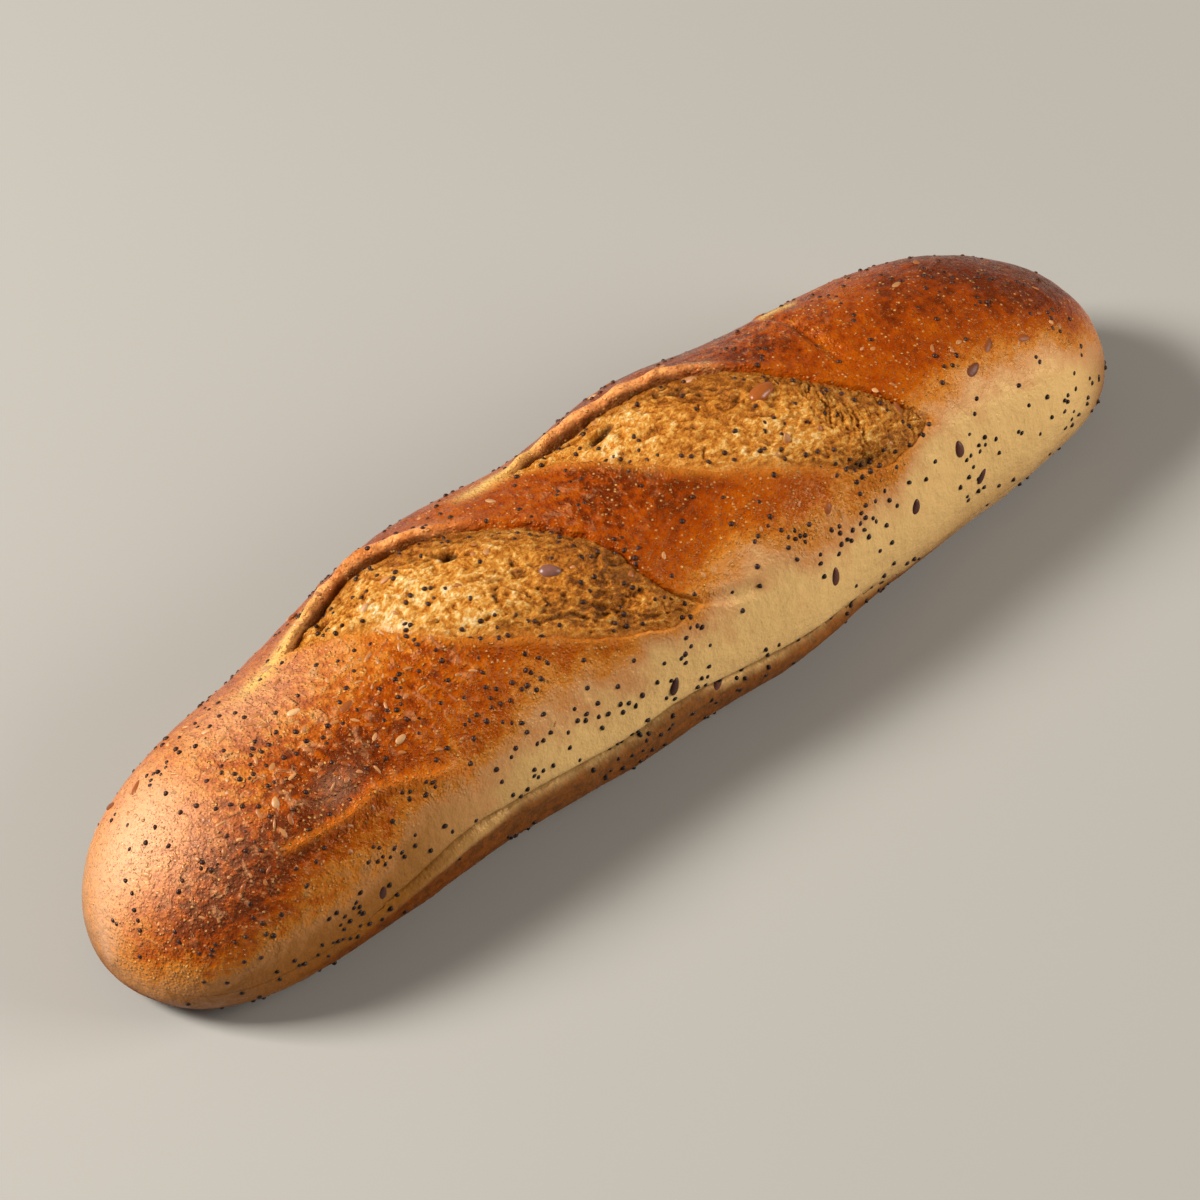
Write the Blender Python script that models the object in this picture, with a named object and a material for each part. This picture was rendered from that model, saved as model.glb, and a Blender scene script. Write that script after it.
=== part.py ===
"""A vienna loaf 280 mm long, with two long slanting cuts that opened in the oven and seeds baked into its crust.

Sizes are in millimetres and are turned into metres where a mesh is made. X runs along the loaf, -Y is its near
flank, Z is up, and the origin is on the ground under the loaf's middle. A place on the crust is given by x and by
an angle round the loaf: 0 degrees faces -Y, 90 is the top, 180 faces +Y and 270 is the underside.
"""
import math
import random

import bmesh
import bpy
import numpy as np
from mathutils import Matrix, Vector, noise

MM = 0.001

# The loaf's form: its middle line, half width and top at nine stations from the left end to the right end
LENGTH = 280.0
STATION_GAP = LENGTH / 8
MIDDLE_Y = (-4.2, -4.5, -1.8, 1.3, -0.7, -0.2, -1.8, -3.9, -9.2)
HALF_WIDTH = (35.9, 31.4, 33.9, 37.1, 37.6, 38.2, 33.7, 31.2, 34.1)
TOP_Z = (45.0, 46.0, 48.5, 51.5, 50.0, 51.5, 49.0, 46.5, 45.0)
WIDEST_Z = 15.0
LEFT_CAP = 47.0
RIGHT_CAP = 53.0
LEFT_TIP_Z = 9.0
RIGHT_TIP_Z = 11.0
CAP_BLUNTNESS = 0.95
CROWN_POWER = 2.15
BASE_POWER = 3.0
BASE_SINK = 1.5
TIP_FLATNESS = 0.45

# The cuts: each has an ear, the far edge that lifted, and a near lip, both as (x, angle) from end to end
LEFT_EAR = ((-75, 121), (-66, 125), (-50, 127), (-37, 121), (-22, 108), (-8, 84), (0, 52), (7, 38.5))
LEFT_LIP = ((-75, 121), (-61, 102), (-47.5, 76), (-33, 60), (-19, 47), (-4, 38.5), (7, 38.5))
RIGHT_EAR = ((-7.5, 129), (4, 131), (19, 126), (36, 118), (50, 104), (62, 84), (72, 64), (78, 48))
RIGHT_LIP = ((-7.5, 129), (5, 114), (12, 98), (25, 76), (39, 62), (58, 45), (69, 42.5), (78, 48))
EAR_SHARES = (0.0, 0.1, 0.3, 0.43, 0.57, 1.0)
EAR_HEIGHTS = (0.8, 2.4, 3.2, 2.3, 0.8, 0.4)
EAR_RIM_WIDTH = 2.4
EAR_SLOPE_WIDTH = 9.0
EAR_WALL = 1.8
EAR_FOOT_DEPTH = 1.5
EAR_FOOT_WIDTH = 2.8
LIP_HEIGHT = 0.7
LIP_WIDTH = 3.0
LIP_WALL = 1.6
CRUMB_SINK = 0.4
CRUMB_BULGE = 1.9
CRUMB_FULL_WIDTH = 24.0
CRAG_HEIGHT = 0.9
CRAG_SIZE = 7.0

# Folds and creases: a curve of (x, angle) points, how high it stands (below zero is sunken), and its half width
LEFT_FOLD = ((-105, 54), (-96, 51), (-86, 50), (-81, 51), (-72, 45), (-60, 36))
FOOT_CREASE = ((-97, 0), (-82, 6), (-67, 12.5), (-50, 10), (-24, 6), (-6, 8), (12, 4), (44, -3), (62, -8))
BACK_FOOT_CREASE = ((-88, 184), (-60, 176), (-34, 172), (-8, 177), (22, 173), (48, 181), (70, 187))
TAIL_CREASE = ((6, 41), (13, 36), (22, 32))
SHUT_CUT = ((68, 138), (70.5, 120), (70, 103), (71, 84))
CREASES = (
    (LEFT_FOLD, 1.1, 1.7),
    (FOOT_CREASE, -1.1, 1.5),
    (BACK_FOOT_CREASE, -1.1, 1.5),
    (TAIL_CREASE, -0.9, 1.3),
    (SHUT_CUT, -1.3, 1.6),
)
FOOT_BAND_HEIGHT = 0.7
FOOT_BAND_DROP = 7.0
SHUT_CUT_STEP = 0.9
SHUT_CUT_REACH = 7.0

# Dents as (x, angle, half length, half width, depth): pores in the crumb, the seed's nest and wrinkled spots
DENTS = (
    (-33.5, 101, 2.3, 1.7, 2.4),
    (-63.8, 118, 2.2, 1.3, 1.8),
    (15.4, 114, 3.6, 1.6, 2.6),
    (-10.0, 55, 5.0, 3.6, 0.9),
    (56.0, 49, 9.0, 2.4, 1.1),
    (-91.0, 59, 4.0, 2.6, 0.6),
    (-86.0, 56, 3.4, 2.2, 0.5),
)

# The unevenness of hand-shaped dough, and where the relief fades out towards the ground and the tips
LUMP_HEIGHT = 1.1
LUMP_SIZE = 26.0
BASE_BLEND_Z = 6.0
TIP_BLEND_SHARE = 0.35
ROUND_RADIUS = 36.0

# The mesh: the grid that the form is worked out on, and the triangles kept before the seeds are joined
GRID_ALONG = 400
GRID_ROUND = 290
CRUST_TRIANGLES = 5800

# Seeds as (length, width, thickness), and the share of the thickness that stands out of the crust
KERNEL_SIZE = (7.6, 4.6, 3.0)
BIG_SEED_SIZE = (5.0, 3.2, 2.4)
LINSEED_SIZE = (4.5, 2.3, 1.3)
SESAME_SIZE = (3.1, 1.8, 1.0)
POPPY_SIZE = (1.3, 1.15, 1.1)
SEED_STANDS_OUT = 0.6
KERNEL_PLACES = ((48.5, 89, 10),)
BIG_SEED_PLACES = ((-19.8, 75, -35),)
LINSEED_PLACES = (
    (-117, 131, 20), (-89, 12, 75), (-75, 83, 5), (-7, 18, 60), (4.7, 5, 40), (40, 18, 80), (82, 32, 85),
    (73, 58, 70), (87, 13, 50), (94.5, 56, 15), (102, 62, 30), (112, 58, -20), (44, 41, 45), (66, 22, 70),
)
SESAME_PLACES = ((96, 107, 15), (45, 69, 80), (-96, 84, 30), (-84, 96, -15), (-101, 71, 55), (-70, 60, 10))
BACK_LINSEEDS = 14
BACK_SESAMES = 6
POPPIES = 88
SEED_SPACING = 8.0
POPPY_SPACING = 6.5
SEED_LOWEST_Z = 4.0
SEED_RANDOM = 7

CRUST_COLOUR = (0.48, 0.20, 0.048, 1.0)
POPPY_COLOUR = (0.018, 0.016, 0.022, 1.0)
LINSEED_COLOUR = (0.075, 0.026, 0.014, 1.0)
SESAME_COLOUR = (0.62, 0.42, 0.2, 1.0)
KERNEL_COLOUR = (0.42, 0.15, 0.05, 1.0)
CRUST_ROUGHNESS = 0.45
SEED_ROUGHNESS = 0.4


def smooth_step(low, high, value):
    share = np.clip((value - low) / (high - low), 0.0, 1.0)
    return share * share * (3.0 - 2.0 * share)


def catmull_rom(before, start, end, after, share):
    """The smooth curve between start and end, for shares from 0 to 1."""
    square = share * share
    return 0.5 * (
        2.0 * start
        + (end - before) * share
        + (2.0 * before - 5.0 * start + 4.0 * end - after) * square
        + (3.0 * start - before - 3.0 * end + after) * square * share
    )


def at_station(values, x):
    """A value given at the stations, read smoothly at x."""
    place = np.clip((x + LENGTH / 2) / STATION_GAP, 0.0, len(values) - 1.000001)
    index = place.astype(int)
    padded = np.array((2 * values[0] - values[1], *values, 2 * values[-1] - values[-2]))
    return catmull_rom(padded[index], padded[index + 1], padded[index + 2], padded[index + 3], place - index)


def cap_share(x):
    """1 along the loaf's body, falling to 0 at each tip on a quarter ellipse."""
    left = np.clip(1.0 - (x + LENGTH / 2) / LEFT_CAP, 0.0, 1.0)
    right = np.clip(1.0 - (LENGTH / 2 - x) / RIGHT_CAP, 0.0, 1.0)
    return np.sqrt((1.0 - left**2) * (1.0 - right**2)) ** CAP_BLUNTNESS


def base_form(x, angle):
    """The plain loaf: a full crown over a squarer base that lies flat on the ground."""
    share = np.maximum(cap_share(x), 1e-4)
    across = np.cos(np.radians(angle))
    upward = np.sin(np.radians(angle))
    tip_z = np.where(x < 0, LEFT_TIP_Z, RIGHT_TIP_Z)
    middle_z = WIDEST_Z + (tip_z - WIDEST_Z) * (1.0 - share)
    half_width = at_station(HALF_WIDTH, x) * share
    crown = (at_station(TOP_Z, x) - middle_z) * share
    base = (middle_z + BASE_SINK) * share**TIP_FLATNESS
    half_height = np.where(upward > 0, crown, base)
    power = np.where(upward > 0, CROWN_POWER, BASE_POWER)
    reach = (np.abs(across / half_width) ** power + np.abs(upward / half_height) ** power) ** (-1.0 / power)
    y = at_station(MIDDLE_Y, x) - reach * across
    z = np.maximum(middle_z + reach * upward, 0.0)
    return np.stack([x, y, z], axis=-1)


def outward(x, angle):
    """The direction that points straight out of the plain loaf's skin."""
    step = 0.05
    limit = LENGTH / 2
    along = base_form(np.minimum(x + step, limit), angle) - base_form(np.maximum(x - step, -limit), angle)
    around = base_form(x, angle + step) - base_form(x, angle - step)
    normal = np.cross(along, around)
    return normal / np.maximum(np.linalg.norm(normal, axis=-1, keepdims=True), 1e-9)


def unrolled(angle):
    """Millimetres round the loaf for an angle in degrees."""
    return np.radians(angle) * ROUND_RADIUS


def smooth_curve(points, steps=10):
    """A smooth curve through (x, angle) points, in millimetres on the unrolled crust."""
    knots = np.array([(x, unrolled(angle)) for x, angle in points])
    padded = np.vstack([2 * knots[0] - knots[1], knots, 2 * knots[-1] - knots[-2]])
    share = np.linspace(0.0, 1.0, steps, endpoint=False)[:, None]
    spans = [catmull_rom(*padded[index:index + 4], share) for index in range(len(knots) - 1)]
    return np.vstack([*spans, knots[-1:]])


def nearest(curve, x, around):
    """How far each place is from a curve, and the share of the curve's length at its nearest point."""
    best = np.full(x.shape, np.inf)
    share = np.zeros(x.shape)
    spans = len(curve) - 1
    for index, (start, end) in enumerate(zip(curve[:-1], curve[1:])):
        run = end - start
        part = ((x - start[0]) * run[0] + (around - start[1]) * run[1]) / (run @ run)
        part = np.clip(part, 0.0, 1.0)
        distance = np.hypot(x - start[0] - part * run[0], around - start[1] - part * run[1])
        closer = distance < best
        best = np.where(closer, distance, best)
        share = np.where(closer, (index + part) / spans, share)
    return best, share


def is_inside(outline, x, around):
    """Whether each place lies inside a closed outline."""
    inside = np.zeros(x.shape, dtype=bool)
    for start, end in zip(outline, np.roll(outline, -1, axis=0)):
        spans = (start[1] > around) != (end[1] > around)
        height = end[1] - start[1]
        if height == 0.0:
            continue
        crossing = start[0] + (around - start[1]) * (end[0] - start[0]) / height
        inside ^= spans & (x < crossing)
    return inside


def unevenness(points, size):
    """Smooth random bumps of a given size, from about -0.7 to 0.7, the same on every run."""
    return np.array([noise.noise(Vector(point / size)) for point in points.reshape(-1, 3)]).reshape(points.shape[:-1])


def cut_relief(ear, lip, x, around, crags):
    """How far an opened cut lifts or sinks the skin: its raised ear, torn crumb and low near lip."""
    ear_curve = smooth_curve(ear)
    lip_curve = smooth_curve(lip)
    from_ear, along_ear = nearest(ear_curve, x, around)
    from_lip, _ = nearest(lip_curve, x, around)
    inside = is_inside(np.vstack([ear_curve, lip_curve[::-1]]), x, around)
    width = from_ear + from_lip
    ear_share = from_lip / np.maximum(width, 1e-6)

    height = np.interp(along_ear, EAR_SHARES, EAR_HEIGHTS)
    rim = np.exp(-((from_ear - EAR_RIM_WIDTH / 2) / EAR_RIM_WIDTH) ** 2)
    slope = np.exp(-((from_ear / EAR_SLOPE_WIDTH) ** 2))
    ear_edge = height * (0.65 * math.exp(-0.25) + 0.35)
    ear_side = np.where(inside, ear_edge, height * (0.65 * rim + 0.35 * slope))
    lip_side = np.where(inside, LIP_HEIGHT, LIP_HEIGHT * np.exp(-((from_lip / LIP_WIDTH) ** 2)))
    edges = ear_share * ear_side + (1.0 - ear_share) * lip_side

    fullness = np.clip(width / CRUMB_FULL_WIDTH, 0.0, 1.0)
    bulge = CRUMB_BULGE * 4.0 * ear_share * (1.0 - ear_share) * fullness
    foot = EAR_FOOT_DEPTH * np.exp(-from_ear / EAR_FOOT_WIDTH) * np.clip(height, 0.5, 1.0)
    crumb = bulge - foot - CRUMB_SINK + CRAG_HEIGHT * crags
    opened = smooth_step(0.0, EAR_WALL, from_ear) * smooth_step(0.0, LIP_WALL, from_lip)
    return np.where(inside, edges + (crumb - edges) * opened, edges)


def crease_relief(x, around):
    """Folds, creases, the browner bulging band along the foot, and the step at the cut that baked shut."""
    total = np.zeros(x.shape)
    for points, height, half_width in CREASES:
        distance, share = nearest(smooth_curve(points), x, around)
        fade = smooth_step(0.0, 0.12, share) * smooth_step(0.0, 0.12, 1.0 - share)
        total += height * fade * np.exp(-((distance / half_width) ** 2))
    for points, below in ((FOOT_CREASE, 1.0), (BACK_FOOT_CREASE, -1.0)):
        curve = smooth_curve(points)
        ends = smooth_step(curve[0, 0], curve[0, 0] + 25, x) * smooth_step(-curve[-1, 0], 25 - curve[-1, 0], -x)
        drop = below * (np.interp(x, curve[:, 0], curve[:, 1]) - around)
        total += FOOT_BAND_HEIGHT * ends * smooth_step(0.0, 1.5, drop) * (1 - smooth_step(3.0, FOOT_BAND_DROP, drop))
    shut, share = nearest(smooth_curve(SHUT_CUT), x, around)
    left_of_it = smooth_step(0.5, 2.0, np.interp(around, *smooth_curve(SHUT_CUT)[::-1, ::-1].T) - x)
    fade = smooth_step(0.0, 0.1, share) * smooth_step(0.0, 0.3, 1.0 - share)
    return total + SHUT_CUT_STEP * fade * left_of_it * np.exp(-((shut / SHUT_CUT_REACH) ** 2))


def relief(x, angle, plain):
    """How far the real skin stands out from the plain loaf at each place."""
    around = unrolled(angle)
    crags = unevenness(plain, CRAG_SIZE)
    total = crease_relief(x, around)
    total += cut_relief(LEFT_EAR, LEFT_LIP, x, around, crags)
    total += cut_relief(RIGHT_EAR, RIGHT_LIP, x, around, crags)
    total += LUMP_HEIGHT * unevenness(plain, LUMP_SIZE)
    for dent_x, dent_angle, half_length, half_width, depth in DENTS:
        off_x = (x - dent_x) / half_length
        off_round = (around - unrolled(dent_angle)) / half_width
        total -= depth * np.exp(-((off_x**2 + off_round**2) ** 1.5))
    return total


def skin(x, angle):
    """Points on the finished crust, flat where the loaf stands."""
    plain = base_form(x, angle)
    free = smooth_step(0.0, BASE_BLEND_Z, plain[:, 2]) * smooth_step(0.0, TIP_BLEND_SHARE, cap_share(x))
    raised = plain + outward(x, angle) * (relief(x, angle, plain) * free)[:, None]
    raised[:, 2] = np.maximum(raised[:, 2], 0.0)
    return raised


def x_along(share):
    """X for a share from 0 to 1 of the way from tip to tip, with places closing up towards each tip."""
    cap = 0.2
    left = np.clip(share / cap, 0.0, 1.0) * math.pi / 2
    right = np.clip((1.0 - share) / cap, 0.0, 1.0) * math.pi / 2
    body = np.clip((share - cap) / (1.0 - 2.0 * cap), 0.0, 1.0) * (LENGTH - LEFT_CAP - RIGHT_CAP)
    return -LENGTH / 2 + LEFT_CAP * (1.0 - np.cos(left)) + body + RIGHT_CAP * np.cos(right)


def material(name, colour, roughness):
    made = bpy.data.materials.new(name)
    made.use_nodes = True
    shader = made.node_tree.nodes["Principled BSDF"]
    shader.inputs["Base Color"].default_value = colour
    shader.inputs["Roughness"].default_value = roughness
    shader.inputs["Metallic"].default_value = 0.0
    made.diffuse_color = colour
    return made


def collection(name):
    made = bpy.data.collections.new(name)
    bpy.context.scene.collection.children.link(made)
    return made


def mesh_object(name, mesh, owner, finish):
    mesh.materials.append(finish)
    made = bpy.data.objects.new(name, mesh)
    owner.objects.link(made)
    return made


def make_crust(owner):
    """A ball whose poles are the loaf's tips, with each of its points moved to its place on the crust."""
    ball = bmesh.new()
    bmesh.ops.create_uvsphere(ball, u_segments=GRID_ROUND, v_segments=GRID_ALONG, radius=1.0)
    places = np.array([vertex.co for vertex in ball.verts])
    share = 1.0 - np.arccos(np.clip(places[:, 2], -1.0, 1.0)) / math.pi
    angle = 180.0 - np.degrees(np.arctan2(places[:, 1], places[:, 0]))
    angle = np.where(angle > 270.0, angle - 360.0, angle)
    for vertex, point in zip(ball.verts, skin(x_along(share), angle) * MM):
        vertex.co = point
    mesh = bpy.data.meshes.new("loaf")
    ball.to_mesh(mesh)
    ball.free()
    made = mesh_object("loaf", mesh, owner, material("baked_crust", CRUST_COLOUR, CRUST_ROUGHNESS))
    thinned = made.modifiers.new("fewer_faces", "DECIMATE")
    thinned.ratio = CRUST_TRIANGLES / (2.0 * GRID_ROUND * (GRID_ALONG - 1))
    return made


def seed_mesh(name, size, sides, rings):
    """A smooth seed, pointed towards one end like a drop."""
    seed = bmesh.new()
    bmesh.ops.create_uvsphere(seed, u_segments=sides, v_segments=rings, radius=0.5 * MM)
    bmesh.ops.rotate(seed, verts=seed.verts, matrix=Matrix.Rotation(math.radians(90), 3, "Y"))
    for vertex in seed.verts:
        pointed = 1.0 - 0.35 * vertex.co.x / MM
        vertex.co = Vector((vertex.co.x * size[0], vertex.co.y * size[1] * pointed, vertex.co.z * size[2]))
    mesh = bpy.data.meshes.new(name)
    seed.to_mesh(mesh)
    seed.free()
    return mesh


def place_seed(mesh, size, x, angle, turn, owner):
    """Half sinks a seed into the crust at a place, turned by an angle from the loaf's length."""
    spots = skin(np.array([x, x + 0.5, x]), np.array([angle, angle, angle + 0.8]))
    along = Vector(spots[1] - spots[0]).normalized()
    out = along.cross(Vector(spots[2] - spots[0])).normalized()
    along = (Matrix.Rotation(math.radians(turn), 3, out) @ along).normalized()
    middle = Vector(spots[0]) + out * size[2] * (SEED_STANDS_OUT - 0.5)
    made = bpy.data.objects.new(mesh.name, mesh)
    facing = Matrix((along, out.cross(along), out)).transposed().to_4x4()
    made.matrix_world = Matrix.Translation(middle * MM) @ facing
    owner.objects.link(made)


def is_free(x, angle, taken, spacing):
    around = unrolled(angle)
    return all(math.hypot(x - other_x, around - unrolled(other)) > spacing for other_x, other in taken)


def scattered(count, spacing, low_angle, high_angle, taken, chance):
    """Random places over the crust, clear of the places taken already and of the ground."""
    places = []
    while len(places) < count:
        x = chance.uniform(-LENGTH / 2 + 4, LENGTH / 2 - 4)
        angle = chance.uniform(low_angle, high_angle)
        turn = chance.uniform(-90, 90)
        height = base_form(np.array([x]), np.array([angle]))[0, 2]
        if height > SEED_LOWEST_Z and is_free(x, angle, taken, spacing):
            places.append((x, angle, turn))
            taken.append((x, angle))
    return places


def make_seeds(owner):
    """The seeds that show, the largest first, each kind with its own mesh."""
    chance = random.Random(SEED_RANDOM)
    known = KERNEL_PLACES + BIG_SEED_PLACES + LINSEED_PLACES + SESAME_PLACES
    taken = [(x, angle) for x, angle, _ in known]
    back_linseeds = scattered(BACK_LINSEEDS, SEED_SPACING, 135, 200, taken, chance)
    back_sesames = scattered(BACK_SESAMES, SEED_SPACING, 100, 190, taken, chance)
    poppies = scattered(POPPIES, POPPY_SPACING, -25, 205, taken, chance)
    kinds = (
        ("kernel", KERNEL_SIZE, 8, 6, KERNEL_COLOUR, KERNEL_PLACES),
        ("big_seed", BIG_SEED_SIZE, 8, 5, LINSEED_COLOUR, BIG_SEED_PLACES),
        ("linseed", LINSEED_SIZE, 6, 4, LINSEED_COLOUR, LINSEED_PLACES + tuple(back_linseeds)),
        ("sesame", SESAME_SIZE, 6, 4, SESAME_COLOUR, SESAME_PLACES + tuple(back_sesames)),
        ("poppy", POPPY_SIZE, 5, 3, POPPY_COLOUR, poppies),
    )
    for name, size, sides, rings, colour, places in kinds:
        mesh = seed_mesh(name, size, sides, rings)
        mesh.materials.append(material(name + "_seed", colour, SEED_ROUGHNESS))
        for x, angle, turn in places:
            place_seed(mesh, size, x, angle, turn, owner)


def fuse(crust, seeds):
    """Joins the seeds to the crust with one union, and applies it."""
    union = crust.modifiers.new("seeds_fused", "BOOLEAN")
    union.operation = "UNION"
    union.operand_type = "COLLECTION"
    union.collection = seeds
    union.solver = "MANIFOLD"
    union.material_mode = "TRANSFER"
    bpy.context.view_layer.update()
    graph = bpy.context.evaluated_depsgraph_get()
    joined = bpy.data.meshes.new_from_object(crust.evaluated_get(graph))
    crust.modifiers.clear()
    crust.data = joined
    for seed in list(seeds.objects):
        bpy.data.objects.remove(seed)
    bpy.data.collections.remove(seeds)


def islands(mesh):
    """The faces of each connected piece of a mesh."""
    waiting = set(mesh.faces)
    while waiting:
        piece = set()
        edge_of_piece = [waiting.pop()]
        while edge_of_piece:
            face = edge_of_piece.pop()
            piece.add(face)
            for edge in face.edges:
                for other in edge.link_faces:
                    if other in waiting:
                        waiting.remove(other)
                        edge_of_piece.append(other)
        yield piece


def keep_one_body(crust):
    """Fills hollows that the union sealed and drops loose scraps, by keeping the largest piece alone."""
    mesh = bmesh.new()
    mesh.from_mesh(crust.data)
    pieces = sorted(islands(mesh), key=len)
    scraps = [face for piece in pieces[:-1] for face in piece]
    bmesh.ops.delete(mesh, geom=scraps, context="FACES")
    bmesh.ops.triangulate(mesh, faces=mesh.faces)
    mesh.to_mesh(crust.data)
    mesh.free()


def main():
    for thing in list(bpy.data.objects):
        bpy.data.objects.remove(thing, do_unlink=True)
    loaf = collection("vienna_loaf")
    seeds = collection("seeds_to_fuse")
    crust = make_crust(loaf)
    make_seeds(seeds)
    fuse(crust, seeds)
    keep_one_body(crust)
    crust.data.shade_smooth()
    crust.data.set_sharp_from_angle(angle=math.radians(50))


main()
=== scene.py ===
"""The looks of a vienna loaf: its crust, the torn crumb in its two cuts and the seeds baked on.

Shapes are worked out in millimetres, by the same rules as the frame's solid, and turned into metres where
a mesh is made. A place on the crust is x and an angle round the loaf: 0 degrees faces -Y, the near flank,
90 is the top, 180 faces +Y and 270 is the underside. "around" is that angle as millimetres round the loaf.
"""
import math
import random

import bmesh
import bpy
import numpy as np
from mathutils import Matrix, Vector, noise
from mathutils.bvhtree import BVHTree


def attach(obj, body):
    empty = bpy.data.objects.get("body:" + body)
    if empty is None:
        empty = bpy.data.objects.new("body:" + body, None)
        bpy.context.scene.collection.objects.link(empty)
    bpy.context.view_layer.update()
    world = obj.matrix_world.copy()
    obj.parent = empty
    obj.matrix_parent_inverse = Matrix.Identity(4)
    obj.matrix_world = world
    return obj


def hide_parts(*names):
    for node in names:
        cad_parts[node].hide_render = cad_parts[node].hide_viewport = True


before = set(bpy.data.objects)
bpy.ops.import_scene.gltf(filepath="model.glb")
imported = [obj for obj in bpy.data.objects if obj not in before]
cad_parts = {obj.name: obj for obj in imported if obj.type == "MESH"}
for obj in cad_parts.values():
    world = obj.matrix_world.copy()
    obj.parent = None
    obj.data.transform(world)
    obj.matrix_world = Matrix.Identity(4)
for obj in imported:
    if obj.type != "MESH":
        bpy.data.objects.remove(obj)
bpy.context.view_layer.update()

MM = 0.001

# The loaf's form, as in the frame: middle line, half width and top at nine stations from left to right
LENGTH = 280.0
STATION_GAP = LENGTH / 8
MIDDLE_Y = (-4.2, -4.5, -1.8, 1.3, -0.7, -0.2, -1.8, -3.9, -9.2)
HALF_WIDTH = (35.9, 31.4, 33.9, 37.1, 37.6, 38.2, 33.7, 31.2, 34.1)
TOP_Z = (45.0, 46.0, 48.5, 51.5, 50.0, 51.5, 49.0, 46.5, 45.0)
WIDEST_Z = 15.0
LEFT_CAP = 47.0
RIGHT_CAP = 53.0
LEFT_TIP_Z = 9.0
RIGHT_TIP_Z = 11.0
CAP_BLUNTNESS = 0.95
CROWN_POWER = 2.15
BASE_POWER = 3.0
BASE_SINK = 1.5
TIP_FLATNESS = 0.45

# The cuts, as in the frame: the ear is the far edge that lifted, the lip is the near edge
LEFT_EAR = ((-75, 121), (-66, 125), (-50, 127), (-37, 121), (-22, 108), (-8, 84), (0, 52), (7, 38.5))
LEFT_LIP = ((-75, 121), (-61, 102), (-47.5, 76), (-33, 60), (-19, 47), (-4, 38.5), (7, 38.5))
RIGHT_EAR = ((-7.5, 129), (4, 131), (19, 126), (36, 118), (50, 104), (62, 84), (72, 64), (78, 48))
RIGHT_LIP = ((-7.5, 129), (5, 114), (12, 98), (25, 76), (39, 62), (58, 45), (69, 42.5), (78, 48))
EAR_SHARES = (0.0, 0.1, 0.3, 0.43, 0.57, 1.0)
EAR_HEIGHTS = (0.8, 2.4, 3.2, 2.3, 0.8, 0.4)
EAR_FULL_HEIGHT = 2.4
EAR_ROUND = 1.2
EDGE_ROUND = 0.45
EAR_RIM_WIDTH = 2.6
EAR_SLOPE_WIDTH = 9.0
EAR_CENTRE = -0.8
EAR_TURN = 125.0
POCKET_DEPTH = 3.6
POCKET_FULL_WIDTH = 8.0
LIP_HEIGHT = 0.6
LIP_WIDTH = 3.0
LIP_WALL = 1.3
CRUMB_SINK = 0.3
CRUMB_BULGE = 2.0
CRUMB_FULL_WIDTH = 24.0
CRUMB_FOOT_DEPTH = (0.6, 1.3)
CRUMB_FOOT_WIDTH = (0.7, 1.8)
CRUMB_GRAIN_TURN = -32.0
CRUMB_TUCK = 2.4
CRUMB_TUCK_DEPTH = 2.6

# Folds and creases, as in the frame, as (x, angle) points
LEFT_FOLD = ((-105, 54), (-96, 51), (-86, 50), (-81, 51), (-72, 45), (-60, 36))
FOOT_CREASE = ((-97, 0), (-82, 6), (-67, 12.5), (-50, 10), (-24, 6), (-6, 8), (12, 4), (44, -3), (62, -8))
BACK_FOOT_CREASE = ((-88, 184), (-60, 176), (-34, 172), (-8, 177), (22, 173), (48, 181), (70, 187))
TAIL_CREASE = ((6, 41), (13, 36), (22, 32))
SHUT_CUT = ((68, 138), (70.5, 120), (70, 103), (71, 84))
# Each as points, height and half width
CREASES = (
    (LEFT_FOLD, 1.3, 1.3),
    (FOOT_CREASE, -1.2, 1.1),
    (BACK_FOOT_CREASE, -1.2, 1.1),
    (TAIL_CREASE, -1.0, 0.9),
    (SHUT_CUT, -1.3, 1.9),
)
FOOT_BAND_HEIGHT = 0.7
FOOT_BAND_DROP = 7.0
FOOT_BAND_FADE = 25.0
SHUT_CUT_STEP = 0.9
SHUT_CUT_REACH = 7.0
# Small hollows and the crumb's pores, as (x, angle, half length, half width, depth)
CRUST_DENTS = ((-91.0, 59, 4.0, 2.6, 0.7), (-86.0, 56, 3.4, 2.2, 0.6))
PORES = (
    (-33.5, 101, 2.2, 1.7, 2.8),
    (-63.8, 118, 2.2, 1.2, 2.2),
    (-17.3, 110, 1.3, 0.9, 1.8),
    (-20.5, 112, 1.1, 0.8, 1.6),
    (-24.5, 115, 1.4, 0.9, 1.6),
    (15.4, 114, 3.9, 1.5, 3.0),
    (43.0, 92, 1.5, 1.0, 1.6),
    (-10.0, 55, 5.0, 3.4, 1.0),
    (56.0, 48, 9.0, 2.0, 1.8),
)
LUMP_HEIGHT = 1.1
LUMP_SIZE = 26.0
BASE_BLEND_Z = 6.0
TIP_BLEND_SHARE = 0.35
ROUND_RADIUS = 36.0

# Meshes: the crust's grid before it is refined at the cuts' edges, and the crumb's spacing
CRUST_ALONG = 300
CRUST_ROUND = 210
CROWN_SHARE = 0.76
CROWN_FROM = -30.0
CROWN_TO = 210.0
FINE_REACH = 4.2
FINEST_REACH = 2.3
CRUMB_STEPS_ALONG = 290
CRUMB_STEPS_ACROSS = 96

# Stretches of crumb that are paler or browner, as (x, angle, half length, half width, amount)
CRUMB_TONES = (
    (-52, 96, 16, 9, 0.30), (-38, 78, 16, 6, 0.16), (-30, 118, 16, 6, -0.22), (-10, 66, 14, 14, -0.22),
    (14, 106, 12, 7, 0.22), (32, 76, 18, 7, 0.16), (40, 100, 14, 10, -0.16), (66, 62, 10, 14, -0.04),
)

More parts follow.
